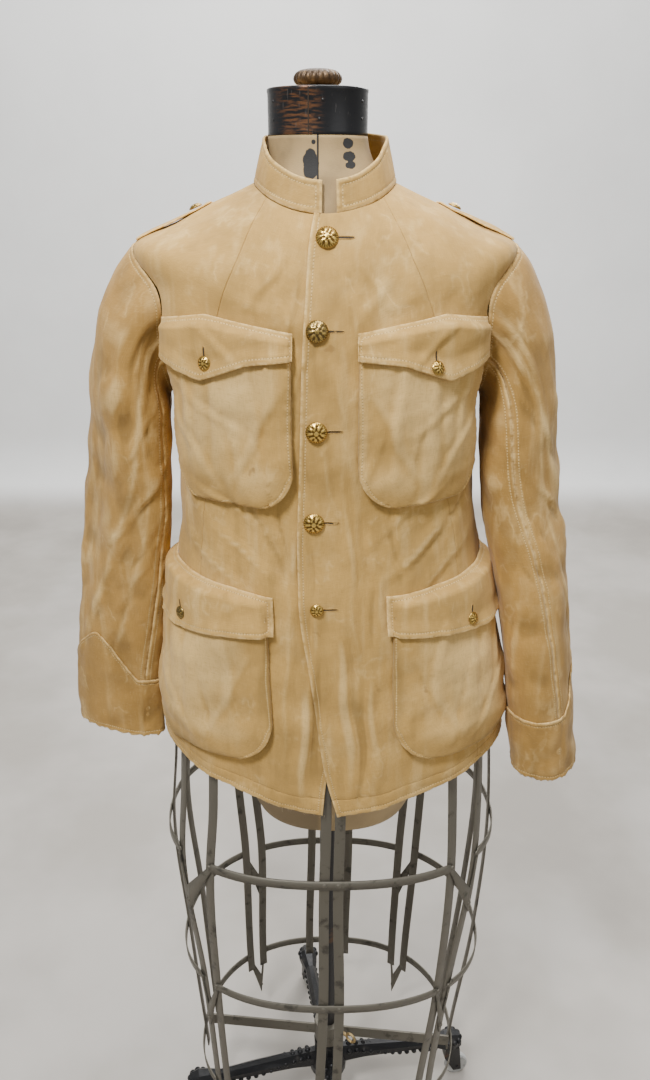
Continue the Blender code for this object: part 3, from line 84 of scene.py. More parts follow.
# Largest folds: angle, level, reach in levels, width in degrees, lean, depth
BODY_FOLDS = (
    (58, 0.48, 0.16, 6.0, 20, 0.0030), (74, 0.42, 0.20, 5.0, -10, -0.0030),
    (118, 0.44, 0.18, 6.0, -15, 0.0030), (132, 0.50, 0.14, 5.5, 12, -0.0025),
    (112, 0.12, 0.16, 6.0, 0, 0.0035), (70, 0.10, 0.16, 6.5, 10, 0.0040),
    (40, 0.06, 0.12, 7.0, 0, 0.0035), (146, 0.05, 0.12, 7.0, 0, 0.0035),
    (-24, 0.05, 0.20, 7.0, 0, 0.0050), (-52, 0.08, 0.24, 7.5, 4, -0.0040),
    (-75, 0.06, 0.22, 7.0, 0, 0.0050), (-108, 0.06, 0.22, 7.5, 0, 0.0050),
    (-130, 0.08, 0.24, 7.0, -4, -0.0040), (-156, 0.05, 0.20, 7.0, 0, 0.0050),
    (-60, 0.50, 0.16, 7.0, 20, 0.0030), (-122, 0.50, 0.16, 7.0, -20, 0.0030),
    (-90, 0.46, 0.12, 9.0, 0, -0.0020))

# Main creases on the body: from (angle, level) to (angle, level), half-width and height in
# millimetres; each ridge has a shallow trough along one side
BODY_CREASES = (
    (151, 0.505, 116, 0.420, 5.0, 3.0), (146, 0.545, 114, 0.478, 4.0, 2.1),
    (158, 0.462, 126, 0.385, 5.0, 2.6), (160, 0.520, 136, 0.470, 3.5, -1.8),
    (126, 0.540, 108, 0.400, 5.5, -1.9), (104, 0.520, 110, 0.330, 6.0, 2.2),
    (98, 0.440, 101, 0.230, 5.0, -1.8), (168, 0.560, 150, 0.520, 3.5, 1.9),
    (32, 0.505, 64, 0.410, 5.0, 3.0), (42, 0.545, 70, 0.470, 4.0, 2.2),
    (24, 0.455, 52, 0.385, 5.0, 2.4), (20, 0.520, 44, 0.480, 3.5, -1.9),
    (82, 0.560, 77, 0.360, 6.0, 2.4), (68, 0.420, 72, 0.300, 5.0, -2.1),
    (62, 0.530, 58, 0.400, 4.5, -1.9), (12, 0.560, 30, 0.520, 3.5, 1.8),
    (86, 0.300, 82, 0.040, 6.5, 2.9), (75, 0.240, 78, 0.020, 6.0, -2.2),
    (96, 0.290, 99, 0.060, 6.0, -2.1), (103, 0.220, 105, 0.010, 7.0, 2.6),
    (92, 0.660, 86, 0.480, 5.0, 1.8), (100, 0.640, 97, 0.520, 4.5, -1.4),
    (86, 0.760, 82, 0.680, 4.5, 1.4), (98, 0.800, 104, 0.700, 4.5, 1.4),
    (60, 0.900, 74, 0.840, 5.0, 1.4), (118, 0.905, 106, 0.835, 5.0, 1.4),
    (48, 0.860, 66, 0.845, 5.0, 1.6), (132, 0.860, 114, 0.845, 5.0, 1.6),
    (38, 0.800, 56, 0.740, 4.5, 1.6), (142, 0.800, 124, 0.745, 4.5, 1.8),
    (30, 0.700, 52, 0.640, 4.5, 1.6), (150, 0.700, 126, 0.640, 4.5, 1.8),
    (8, 0.350, 14, 0.160, 7.0, 2.6), (172, 0.350, 167, 0.160, 7.0, 2.6),
    (-6, 0.480, -32, 0.430, 5.0, 2.4), (186, 0.480, 212, 0.430, 5.0, 2.4),
    (-16, 0.560, -48, 0.490, 5.0, 2.2), (196, 0.560, 228, 0.490, 5.0, 2.2),
    (-62, 0.560, -90, 0.480, 5.5, 2.4), (242, 0.555, 270, 0.475, 5.5, 2.4),
    (-36, 0.680, -60, 0.600, 5.5, 2.4), (216, 0.685, 240, 0.605, 5.5, 2.6),
    (-40, 0.760, -66, 0.700, 5.0, 1.9), (220, 0.765, 246, 0.700, 5.0, 2.1),
    (-84, 0.860, -86, 0.640, 6.0, 1.6), (262, 0.420, 258, 0.120, 7.0, 2.9),
    (-70, 0.380, -66, 0.100, 7.0, 2.9), (-40, 0.330, -36, 0.060, 7.0, 2.9),
    (236, 0.340, 232, 0.060, 7.0, 2.9), (212, 0.300, 209, 0.040, 7.0, 2.6))

# Soft upright folds down the fronts, the same columns
FRONT_CREASES = (
    (76, 0.500, 74, 0.390, 4.0, 2.2), (70, 0.480, 66, 0.350, 4.5, 2.0),
    (81, 0.400, 77, 0.270, 4.5, 1.8), (85, 0.310, 79, 0.060, 6.0, 2.4),
    (73, 0.270, 70, 0.040, 5.5, 2.0), (97, 0.350, 104, 0.090, 6.0, 2.3),
    (109, 0.340, 113, 0.070, 5.5, 2.0), (101, 0.500, 99, 0.370, 4.5, 1.9),
    (113, 0.530, 108, 0.410, 4.5, -2.0), (66, 0.640, 72, 0.560, 4.5, 1.5),
    (78, 0.900, 74, 0.760, 5.0, 1.5), (104, 0.920, 108, 0.780, 5.0, 1.5),
    (84, 0.820, 80, 0.640, 5.5, 1.4), (112, 0.930, 124, 0.850, 5.0, 1.5),
    (72, 0.930, 60, 0.850, 5.0, 1.5), (96, 0.860, 93, 0.700, 4.5, -1.4))
BODY_CREASES += FRONT_CREASES

SHAPING_SEAM = np.array((
    (0.00, 0.182), (0.12, 0.176), (0.30, 0.160), (0.42, 0.148), (0.52, 0.136),
    (0.66, 0.124), (0.80, 0.113), (0.90, 0.092), (0.97, 0.072), (1.00, 0.060)))
LAP_EDGE = np.array((
    (0.00, 0.0150), (0.06, 0.0020), (0.13, -0.0065), (0.25, -0.0175), (0.35, -0.0285),
    (0.45, -0.0305), (0.60, -0.0270), (0.75, -0.0240), (0.88, -0.0200), (0.97, -0.0150),
    (1.00, -0.0110)))
UNDER_EDGE = np.array((
    (0.00, -0.0030), (0.06, 0.0020), (0.13, 0.0130), (0.25, 0.0200), (0.60, 0.0200),
    (1.00, 0.0140)))

GUSSET = 5.2 * MM               # the pockets' faces stand this far off at their edges
CHEST_POCKET = {"inner": 0.035, "outer": 0.186, "top": 1.290, "bottom": 1.122,
                "corner": 0.042, "puff": 0.006}
CHEST_FLAP = {"inner": 0.033, "outer": 0.190, "top": (1.3075, 1.3250, 1.3170),
              "low": (1.2810, 1.2760, 1.2590, 1.2690, 1.2790), "point": 0.60}
HIP_POCKET = {"inner": 0.072, "outer": 0.258, "top": 0.996, "bottom": 0.800,
              "corner": 0.055, "puff": 0.010}
HIP_FLAP = {"inner": 0.064, "outer": 0.262, "top": (1.0150, 1.0280, 1.0330),
            "low": (0.9690, 0.9660, 0.9580, 0.9640, 0.9760), "point": 0.62}
# Creases inside a pocket: from (share across, share up) to (share across, share up),
# half-width and height in millimetres
POCKET_CREASES = (
    (0.30, 0.95, 0.24, 0.30, 5.0, 2.2), (0.55, 0.92, 0.60, 0.25, 5.5, -2.0),
    (0.78, 0.90, 0.74, 0.35, 4.5, 2.1), (0.12, 0.70, 0.42, 0.18, 4.5, 1.8),
    (0.90, 0.60, 0.55, 0.14, 4.5, 1.7), (0.45, 0.60, 0.40, 0.12, 4.0, -1.4))

SLEEVE_COLUMNS = ("z", "x", "y", "long", "short", "twist", "seam")
RIGHT_SLEEVE = np.array((
    (1.200, 0.2315, 0.006, 0.0750, 0.0460, 22.0, -25.0),
    (1.115, 0.2415, 0.012, 0.0730, 0.0390, 41.0, -5.0),
    (1.020, 0.2545, 0.020, 0.0710, 0.0340, 52.0, 15.0),
    (0.905, 0.2725, 0.027, 0.0690, 0.0290, 61.0, 32.0),
    (0.843, 0.2820, 0.029, 0.0680, 0.0270, 63.0, 38.0),
    (0.742, 0.2885, 0.027, 0.0670, 0.0250, 66.0, 45.0)))
LEFT_SLEEVE = np.array((
    (1.200, 0.2285, -0.002, 0.0740, 0.0440, 14.0, 0.0),
    (1.115, 0.2345, -0.014, 0.0680, 0.0440, 25.0, 22.0),
    (1.020, 0.2500, -0.032, 0.0630, 0.0420, 27.0, 44.0),
    (0.930, 0.2635, -0.045, 0.0590, 0.0400, 25.0, 52.0),
    (0.860, 0.2730, -0.052, 0.0550, 0.0390, 25.0, 57.0),
    (0.780, 0.2830, -0.057, 0.0500, 0.0390, 25.0, 60.0),
    (0.740, 0.2885, -0.058, 0.0480, 0.0390, 25.0, 62.0)))
SLEEVE_FOLDS = (
    (60, 1.12, 0.10, 16, 0.0040), (100, 1.06, 0.12, 16, -0.0035),
    (140, 1.03, 0.12, 18, 0.0040), (20, 1.02, 0.06, 14, 0.0030),
    (75, 0.93, 0.10, 18, 0.0035), (160, 0.92, 0.08, 18, -0.0030),
    (200, 1.05, 0.10, 18, 0.0035))
# Sleeve creases: from (degrees from the front seam, z) to the same, half-width and height
SLEEVE_CREASES = (
    (18, 1.330, 40, 1.180, 4.3, 2.0), (40, 1.350, 62, 1.140, 4.3, -1.5),
    (62, 1.330, 84, 1.080, 4.7, 1.9), (95, 1.340, 104, 1.060, 4.7, -1.4),
    (10, 1.240, 70, 1.150, 3.6, 1.5), (-20, 1.180, 48, 1.100, 4.0, 1.9),
    (30, 1.130, 80, 1.040, 4.0, 2.0), (0, 1.100, 52, 1.000, 3.6, -1.5),
    (60, 1.060, 96, 0.900, 4.3, 1.9), (24, 1.030, 66, 0.930, 4.0, 1.7),
    (-30, 1.060, 20, 0.960, 3.6, 1.5), (46, 0.960, 60, 0.860, 3.6, -1.2),
    (86, 0.960, 110, 0.860, 4.0, 1.5), (120, 1.200, 140, 1.020, 4.7, 1.7),
    (150, 1.120, 176, 0.960, 4.7, 1.5), (190, 1.200, 176, 1.060, 4.3, 1.4),
    (214, 1.120, 196, 0.940, 4.3, 1.4), (-60, 1.150, -84, 1.040, 3.6, 1.4),
    (-100, 1.120, -70, 1.010, 3.6, 1.4), (-50, 0.980, -80, 0.900, 3.6, 1.2),
    (10, 0.920, 34, 0.850, 3.2, 1.1))
# Pale streaks down the sleeves, partly faded cloth and partly painted highlight along the creases:
# the same columns, with a strength for the height
SLEEVE_STREAKS = (
    (20, 1.330, 70, 1.060, 2.9, 0.72), (70, 1.060, 96, 0.880, 2.5, 0.64),
    (44, 1.340, 34, 1.060, 2.5, 0.44), (34, 1.060, 50, 0.900, 2.9, 0.48),
    (96, 1.300, 120, 1.000, 3.4, 0.40), (0, 1.150, 8, 0.880, 1.7, 0.44))
CUFF_UNDER, CUFF_PEAK, CUFF_PEAK_AT, CUFF_PEAK_WIDTH = 0.088, 0.156, 70.0, 62.0

COLLAR_TOP = {"front": 1.451, "side": 1.494, "back": 1.501}
COLLAR_LEAN = {"front": 0.007, "side": 0.0120, "back": 0.004}
COLLAR_LEFT_X, COLLAR_RIGHT_X = 0.012, -0.003

FRONT_BUTTONS = ((0.002, 1.3965), (-0.008, 1.3095), (-0.009, 1.2080), (-0.0145, 1.1055),
                 (-0.0150, 1.0020))
LARGE_BUTTON, SMALL_BUTTON = 0.0115, 0.0077
BUTTON_RISE = 0.0062

FORM_INSET = np.array((
    (0.10, 0.0125), (0.22, 0.0100), (0.36, 0.0110), (0.48, 0.0100), (0.66, 0.0080),
    (0.78, 0.0076), (0.86, 0.0062), (0.91, 0.0029), (0.94, 0.0026), (0.97, 0.0028),
    (1.00, 0.0050)))
FORM_FOOT = ((0.785, 0.2020, 0.1320, 0.1420), (0.745, 0.1790, 0.1240, 0.1300),
             (0.700, 0.1330, 0.1080, 0.1100), (0.650, 0.1060, 0.0960, 0.0940))
FORM_NECK = ((1.452, 0.0620, -0.001, -0.0105), (1.465, 0.0565, -0.003, -0.0090),
             (1.480, 0.0532, -0.006, -0.0075), (1.4925, 0.0524, -0.0075, -0.0070))
NECK_X, NECK_Y = -0.0075, -0.0070
NECK_SPLIT = -0.0072
# Dark flaked blots on the neck: place across, height, half-width and half-height
NECK_BLOTS = ((-0.0147, 1.4650, 0.0080, 0.0145), (-0.0115, 1.4860, 0.0022, 0.0022),
              (0.0229, 1.4850, 0.0052, 0.0052), (0.0246, 1.4725, 0.0066, 0.0050),
              (0.0258, 1.4650, 0.0056, 0.0038))
BAND_RADIUS, BAND_WALL, BAND_LOW, BAND_TOP = 0.0525, 0.0020, 1.4930, 1.5370
KNOB_LOBES, KNOB_LOW, KNOB_TOP, KNOB_SHANK = 22, 1.5405, 1.5560, 0.006
# The knob's outline: radius, height over its underside and how far its lobes show
KNOB_PROFILE = ((0.0195, 0.0, 0.3), (0.0225, 0.0008, 0.8), (0.0245, 0.0030, 1.0),
                (0.0253, 0.0058, 1.0), (0.0246, 0.0088, 1.0), (0.0225, 0.0116, 1.0),
                (0.0185, 0.0137, 0.8), (0.0130, 0.0148, 0.5), (0.0118, 0.0142, 0.2))
# Half-widths that the form keeps within: its trunk, and its shoulders
FORM_TRUNK_HALF, FORM_SHOULDER_HALF = 0.1745, 0.30
# Flap buttons: place across and height of the left one, then of the right one
FLAP_BUTTONS = {"chest": (0.112, 1.2735, 0.122, 1.2770), "hip": (0.163, 0.9745, 0.178, 0.9760)}
STRAP_BUTTON_LEVEL = 0.948
# Beads along each leg: the share of the leg where they start and end, and their number
BEAD_FROM, BEAD_TO, BEAD_COUNT = 0.16, 0.86, 13
# Lamps: place, the point it is turned to, size and power; the wall's own lamp is in make_stage
LAMP_GOAL = (0.0, 0.0, 1.0)
LAMPS = (("key", (-0.7, -1.3, 3.0), LAMP_GOAL, 0.5, 74.0),
         ("fill", (1.7, -1.5, 1.9), LAMP_GOAL, 1.6, 7.0),
         ("top", (0.4, -0.2, 3.1), LAMP_GOAL, 1.2, 36.0),
         ("back", (1.1, 1.9, 2.7), LAMP_GOAL, 1.2, 42.0))
WORLD_COLOUR, WORLD_STRENGTH = (0.95, 0.97, 1.0, 1.0), 0.44

CAGE_OVALS = np.array((
    (0.120, 0.1970, 0.1390, 0.1850, 0.004), (0.150, 0.1990, 0.1400, 0.1850, 0.004),
    (0.385, 0.2185, 0.1480, 0.1810, 0.009), (0.610, 0.2270, 0.1500, 0.1760, 0.008),
    (0.700, 0.2200, 0.1450, 0.1640, 0.010), (0.760, 0.2150, 0.1430, 0.1560, 0.010)))
STRAP_THICK, STRAP_WIDE = 0.0022, 0.0135
STRUT_FOOT, STRUT_TOP = 0.120, 0.845
RING_HEIGHTS = {"high": 0.610, "middle": 0.385, "low": 0.150}
RING_TALL, RING_THICK = 0.013, 0.0020
HEIGHT_COLUMNS = (STRUT_TOP, 0.610, 0.385, STRUT_FOOT)
STRUT_PAIRS = {
    "cage_straps_front": ((86.0, 86.5, 85.8, 84.8), (93.6, 93.4, 94.4, 95.6)),
    "cage_straps_front_left": ((36.5, 36.5, 38.0, 40.0), (21.0, 25.0, 33.0, 33.0)),
    "cage_straps_front_right": ((143.5, 143.8, 146.0, 146.5), (159.0, 158.0, 153.0, 153.0)),
    "cage_straps_side_left": ((1.0, 1.0, 1.0, 1.0), (-14.0, -15.0, -17.0, -17.0)),
    "cage_straps_side_right": ((181.0, 181.0, 181.0, 181.0), (196.0, 197.0, 199.0, 199.0)),
    "cage_straps_back_left": ((-43.0, -44.0, -46.0, -47.0), (-52.0, -51.0, -54.0, -54.0)),
    "cage_straps_back_right": ((223.0, 224.0, 226.0, 227.0), (232.0, 231.0, 234.0, 234.0)),
    "cage_straps_back": ((-82.0, -81.0, -80.0, -80.0), (-98.0, -99.0, -100.0, -100.0)),
}
LINK_DROP = 0.092

HUB_X, HUB_Y, LEG_REACH, LEG_TURN, LEG_COUNT = 0.005, 0.003, 0.215, 10.0, 4

# Camera, found from the photo's own perspective
CAMERA_PLACE = (0.0, -1.025, 1.46)
CAMERA_PITCH, CAMERA_LENS = 67.2, 29.33


class CoatSettings(bpy.types.PropertyGroup):
    """Colours and wear of the cloth."""
    cloth: bpy.props.FloatVectorProperty(
        name="Cloth", description="Colour of the coat's body", subtype="COLOR", size=3,
        default=(0.545, 0.328, 0.092), min=0.0, max=1.0)
    sleeve: bpy.props.FloatVectorProperty(
        name="Sleeves", description="Colour of the sleeves", subtype="COLOR", size=3,
        default=(0.450, 0.255, 0.066), min=0.0, max=1.0)
    # The pale colour also paints the highlights on crease ridges, pocket faces and the sleeve
    # streaks
    pale: bpy.props.FloatVectorProperty(
        name="Rubbed cloth", description="Colour where seams and edges are rubbed",
        subtype="COLOR", size=3, default=(0.820, 0.580, 0.245), min=0.0, max=1.0)
    wear: bpy.props.FloatProperty(
        name="Wear", description="How strongly edges and ridges are rubbed",
        default=0.75, min=0.0, max=1.0, subtype="FACTOR")
    crease: bpy.props.FloatProperty(
        name="Creases", description="Height of the creases against their table",
        default=1.0, min=0.0, max=2.0)


class StandSettings(bpy.types.PropertyGroup):
    """Colours of the metal and the form."""
    canvas: bpy.props.FloatVectorProperty(
        name="Canvas", description="Colour of the form's cover", subtype="COLOR", size=3,
        default=(0.360, 0.245, 0.110), min=0.0, max=1.0)
    strap: bpy.props.FloatVectorProperty(
        name="Strap iron", description="Colour of the cage", subtype="COLOR", size=3,
        default=(0.125, 0.113, 0.088), min=0.0, max=1.0)
    brass: bpy.props.FloatVectorProperty(
        name="Brass", description="Colour of the buttons", subtype="COLOR", size=3,
        default=(0.900, 0.600, 0.150), min=0.0, max=1.0)


class StageSettings(bpy.types.PropertyGroup):
    """Floor, backdrop and lights."""
    wall_distance: bpy.props.FloatProperty(
        name="Wall", description="Distance of the wall behind the form", default=3.0,
        min=0.3, unit="LENGTH", subtype="DISTANCE")
    brightness: bpy.props.FloatProperty(
        name="Light", description="Strength of the lights", default=1.0, min=0.0)


# Curves and surfaces

def smooth_rows(knots, values, at):
    """Smooth curve through table rows: a cubic between rows, its slopes from the rows."""
    slopes = np.gradient(values, knots)
    row = np.clip(np.searchsorted(knots, at, side="right") - 1, 0, len(knots) - 2)
    span = knots[row + 1] - knots[row]
    s = (at - knots[row]) / span
    low = (1 + 2 * s) * (1 - s) ** 2 * values[row] + s * (1 - s) ** 2 * span * slopes[row]
    high = s * s * (3 - 2 * s) * values[row + 1] + s * s * (s - 1) * span * slopes[row + 1]
    return low + high


def ease(low, high, value):
    """0 below low, 1 above high, and a smooth step between."""
    s = np.clip((value - low) / (high - low), 0, 1)
    return s * s * (3 - 2 * s)


def ring(column, level):
    """A named column of the body's ring table at any level."""
    at = np.asarray(level, float)
    return smooth_rows(BODY_RINGS[:, 0], BODY_RINGS[:, RING_COLUMNS.index(column)], at)


def oval_radius(angle, half_width, depth, roundness):
    """radius = (|cos a / half_width|^n + |sin a / depth|^n)^(-1/n)"""
    across = (np.abs(np.cos(angle)) / half_width) ** roundness
    along = (np.abs(np.sin(angle)) / depth) ** roundness
    return (across + along) ** (-1.0 / roundness)


def body_radius(angle, level):
    """Radius of the coat's body at an angle (90 degrees is the front) and a level."""
    depth = np.where(np.sin(angle) > 0, ring("front_depth", level), ring("back_depth", level))
    return oval_radius(angle, ring("half_width", level), depth, ring("roundness", level))


def body_base(angle, level):
    """(cx + r cos a, -r sin a, side_z + (middle_z - side_z) sin^2 a) on the ring table."""
    angle, level = np.broadcast_arrays(np.asarray(angle, float), np.asarray(level, float))
    radius = body_radius(angle, level)
    middle_z = np.where(np.sin(angle) > 0, ring("front_z", level), ring("back_z", level))
    side_z = ring("side_z", level)
    z = side_z + (middle_z - side_z) * np.sin(angle) ** 2
    return np.stack([ring("centre_x", level) + radius * np.cos(angle),
                     -radius * np.sin(angle), z], -1)


def body_normal(angle, level):
    """Outward direction of the body surface, from short steps over it."""
    step = 1e-3
    here = body_base(angle, level)
    up = body_base(angle, level + step) - here
    round_it = body_base(angle + step, level) - body_base(angle - step, level)
    out = np.cross(up, round_it)
    return out / np.linalg.norm(out, axis=-1, keepdims=True)


def wrap(angle):
    """Angle difference brought into -pi to pi."""
    return (angle + math.pi) % (2 * math.pi) - math.pi


def body_folds(angle, level):
    """Largest folds: depth * exp(-across^2) * exp(-along^2) for each row."""
    total = np.zeros(np.broadcast(angle, level).shape)
    for middle, at_level, reach, width, lean, depth in BODY_FOLDS:
        centre = math.radians(middle) + math.radians(lean) * (level - at_level)
        across = wrap(angle - centre) / math.radians(width)
        along = (level - at_level) / reach
        total = total + depth * np.exp(-across ** 2) * np.exp(-along ** 2)
    return total * np.clip((SHOULDER - 0.04 - level) / 0.12, 0, 1)


def crease_height(table, x, y, turn=None, x_size=1.0, y_size=1.0):
    """Ridge exp(-(s/w)^2) with a trough beside it, along each row's line, with s the
    distance from the line; a turn makes x a repeating angle."""
    total = np.zeros(np.broadcast(x, y).shape)
    for x1, y1, x2, y2, width, height in table:
        dx, dy = (x2 - x1) * x_size, (y2 - y1) * y_size
        away = x - x1
        if turn:
            away = (away + turn / 2) % turn - turn / 2
        away, up = away * x_size, (y - y1) * y_size
        length = math.hypot(dx, dy)
        along = (away * dx + up * dy) / length
        side = (away * dy - up * dx) / length
        wide = width * MM
        over = np.maximum(np.maximum(-along, along - length), 0) / (2.2 * wide)
        taper = np.exp(-over ** 2) * (0.45 + 0.55 * np.sin(
            np.clip(along / length, 0, 1) * math.pi))
        bend = side + 0.35 * wide * np.sin(along / (3.1 * wide) + x1)
        shape = np.exp(-(bend / wide) ** 2) - 0.5 * np.exp(-((bend - 1.6 * wide) / wide) ** 2)
        total += height * MM * shape * taper
    return total


def unevenness(u, v, seed):
    """Gentle unevenness of worn cloth: a few sine waves that cross at odd angles."""
    total = np.zeros(np.broadcast(u, v).shape)
    for wave in range(9):
        turn = 2.4 * wave + seed
        length = 0.021 + 0.0085 * wave
        along = u * math.cos(turn) + v * math.sin(turn)
        across = v * math.cos(turn) - u * math.sin(turn)
        total += 0.030 * length * np.sin(2 * math.pi * along / length + seed * wave
                                         + 1.7 * np.sin(across * 31 + wave))
    return total * 0.22


def crease_scale():
    """How deep the creases are, as the panel says."""
    return bpy.context.scene.coat.crease


def on_body(angle, level, height=0.0):
    """Point on the coat's body with its folds and creases, moved out by a height."""
    degrees = np.degrees(angle)
    detail = crease_height(BODY_CREASES, degrees, level, 360.0, 0.0030, 0.73)
    detail = detail + unevenness(degrees * 0.0030, level * 0.73, 1.3)
    detail = detail * ease(0.0, 0.05, 1.0 - level) * crease_scale()
    out = body_folds(angle, level) + detail + height
    return body_base(angle, level) + body_normal(angle, level) * np.asarray(out)[..., None]


def angle_at_offset(level, offset):
    """Front angle whose distance from the middle line is the offset, by halving."""
    low = np.zeros_like(level)
    high = np.full_like(level, math.pi)
    for _ in range(44):
        middle = (low + high) / 2
        beyond = body_radius(middle, level) * np.cos(middle) > offset
        low = np.where(beyond, middle, low)
        high = np.where(beyond, high, middle)
    return (low + high) / 2


def armhole_angle(level, back=False):
    """Half-angle of the armhole at a level, which is nothing outside the armhole."""
    level = np.asarray(level, float)
    sign = -1.0 if back else 1.0
    low = np.zeros_like(level)
    high = np.full_like(level, math.radians(60))
    for _ in range(44):
        middle = (low + high) / 2
        inside = body_radius(sign * middle, level) * np.cos(middle) > ring("armhole_x", level)
        low = np.where(inside, middle, low)
        high = np.where(inside, high, middle)
    shut = (level <= UNDERARM + 1e-6) | (level >= SHOULDER - 1e-6)
    return np.where(shut, 0.0, (low + high) / 2)


def edge_angle(table, level):
    """Angle of a front edge given as X at each level."""
    x = smooth_rows(table[:, 0], table[:, 1], level)
    return angle_at_offset(level, x - ring("centre_x", level))


def seam_angle(level):
    """Angle of the left shaping seam; the right one is its mirror image."""
    offset = smooth_rows(SHAPING_SEAM[:, 0], SHAPING_SEAM[:, 1], level)
    return angle_at_offset(level, offset)


def lap_lift(angle, level):
    """The left front rises smoothly to lie over the right one near the middle."""
    x = ring("centre_x", level) + body_radius(angle, level) * np.cos(angle)
    return LAP_LIFT * ease(-0.056, -0.030, -x)


def arc_angles(arc, level):
    """Front angle at a distance round the body from the middle line, by adding steps."""
    arc, level = np.broadcast_arrays(np.asarray(arc, float), np.asarray(level, float))
    steps = np.linspace(math.pi / 2, math.radians(-30), 121)
    path = body_base(steps, level[..., None])
    run = np.linalg.norm(np.diff(path, axis=-2), axis=-1).cumsum(-1)
    run = np.concatenate([np.zeros(run.shape[:-1] + (1,)), run], -1)
    want = np.abs(arc)[..., None]
    row = np.clip((run < want).sum(-1) - 1, 0, len(steps) - 2)
    before = np.take_along_axis(run, row[..., None], -1)[..., 0]
    after = np.take_along_axis(run, row[..., None] + 1, -1)[..., 0]
    share = (np.abs(arc) - before) / (after - before)
    angle = steps[row] + (steps[1] - steps[0]) * share
    return np.where(arc >= 0, angle, math.pi - angle)


def spot(arc, z):
    """Angle and level of the place at a distance round the body and a height."""
    arc, z = np.broadcast_arrays(np.asarray(arc, float), np.asarray(z, float))
    levels = np.linspace(0, 1, 201)
    level = np.interp(z, ring("front_z", levels), levels)
    for _ in range(4):
        angle = arc_angles(arc, level)
        step = 1e-3
        here = body_base(angle, level)[..., 2]
        slope = (body_base(angle, level + step)[..., 2] - here) / step
        level = level + np.clip((z - here) / slope, -0.05, 0.05)
    return arc_angles(arc, level), level


def on_cloth(arc, z, height):
    """Point over the front at a distance round the body, a height and a rise off it."""
    angle, level = spot(arc, z)
    lift = np.where(arc > -0.06, lap_lift(angle, level), 0.0) * (np.asarray(arc) < 0.06)
    return on_body(angle, level, lift + height)


# Meshes

EDGE_STEPS = (0.0, 0.3, 0.9, 2.0, 3.4, 4.8, 5.6, 6.2, 6.9, 8.4)
STITCH_IN = 6.2 * MM


def spread(length, count, close=EDGE_STEPS):
    """Shares from 0 to 1 with close steps at both ends, where a hem or seam needs them."""
    near = np.array(close) * MM / length
    middle = np.linspace(near[-1], 1 - near[-1], count)
    return np.concatenate([near[:-1], middle, 1 - near[:-1][::-1]])


def add_mesh(name, points, quads, finish, body, nodes, attributes=None):
    """Mesh object from points and four-sided faces, riding on a body for its CAD nodes."""
    points = np.asarray(points - PART_MIDDLE, np.float32)
    quads = np.asarray(quads, np.int32)
    mesh = bpy.data.meshes.new(name)
    mesh.vertices.add(len(points))
    mesh.vertices.foreach_set("co", points.ravel())
    mesh.loops.add(quads.size)
    mesh.loops.foreach_set("vertex_index", quads.ravel())
    mesh.polygons.add(len(quads))
    mesh.polygons.foreach_set("loop_start", np.arange(len(quads), dtype=np.int32) * 4)
    mesh.polygons.foreach_set("loop_total", np.full(len(quads), 4, np.int32))
    for key, values in (attributes or {}).items():
        layer = mesh.attributes.new(key, "FLOAT_VECTOR", "POINT")
        layer.data.foreach_set("vector", np.asarray(values, np.float32).ravel())
    mesh.update(calc_edges=True)
    mesh.validate()
    mesh.shade_smooth()
    mesh.materials.append(finish)
    piece = bpy.data.objects.new(name, mesh)
    bpy.context.scene.collection.objects.link(piece)
    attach(piece, body)
    if nodes:
        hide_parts(*nodes)
    return piece


def grid_quads(rows, columns, start=0, closed=False):
    """Faces of a grid of points, the last column joined to the first when closed."""
    index = np.arange(rows * columns).reshape(rows, columns) + start
    if closed:
        index = np.concatenate([index, index[:, :1]], 1)
    return np.stack([index[:-1, :-1], index[:-1, 1:], index[1:, 1:], index[1:, :-1]],
                    -1).reshape(-1, 4)


def rim_quads(rows, columns, count, closed=False):
    """Faces that join the two walls round the rim."""
    index = np.arange(rows * columns).reshape(rows, columns)
    loops = [index[0], index[-1][::-1]]
    if closed:
        loops = [np.append(index[0], index[0, 0]), np.append(index[-1][::-1], index[-1, -1])]
    else:
        loops += [index[::-1, 0], index[:, -1]]
    faces = [np.stack([loop[1:], loop[:-1], loop[:-1] + count, loop[1:] + count], -1)
             for loop in loops]
    return np.concatenate(faces)


def grid_normals(points, closed=False):
    """Normals of a grid from its own steps, across columns and rows."""
    if closed:
        across = np.roll(points, -1, 1) - np.roll(points, 1, 1)
    else:
        across = np.gradient(points, axis=1)
    out = np.cross(across, np.gradient(points, axis=0))
    return out / np.maximum(np.linalg.norm(out, axis=-1, keepdims=True), 1e-12)


def seam_relief(edge, run, seed):
    """Edge of sewn cloth: a puffed strip, a groove at the stitches and small puckers."""
    puff = 0.45 * MM * np.exp(-((edge - 3.0 * MM) / (2.2 * MM)) ** 2)
    groove = -0.50 * MM * np.exp(-((edge - STITCH_IN) / (0.7 * MM)) ** 2)
    ripple = np.sin(2 * math.pi * run / (10.5 * MM) + 2.2 * np.sin(run * 43 + seed) + seed)
    pucker = 0.34 * MM * ripple * np.exp(-((edge - 5.0 * MM) / (6.0 * MM)) ** 2)
    return puff + groove + pucker


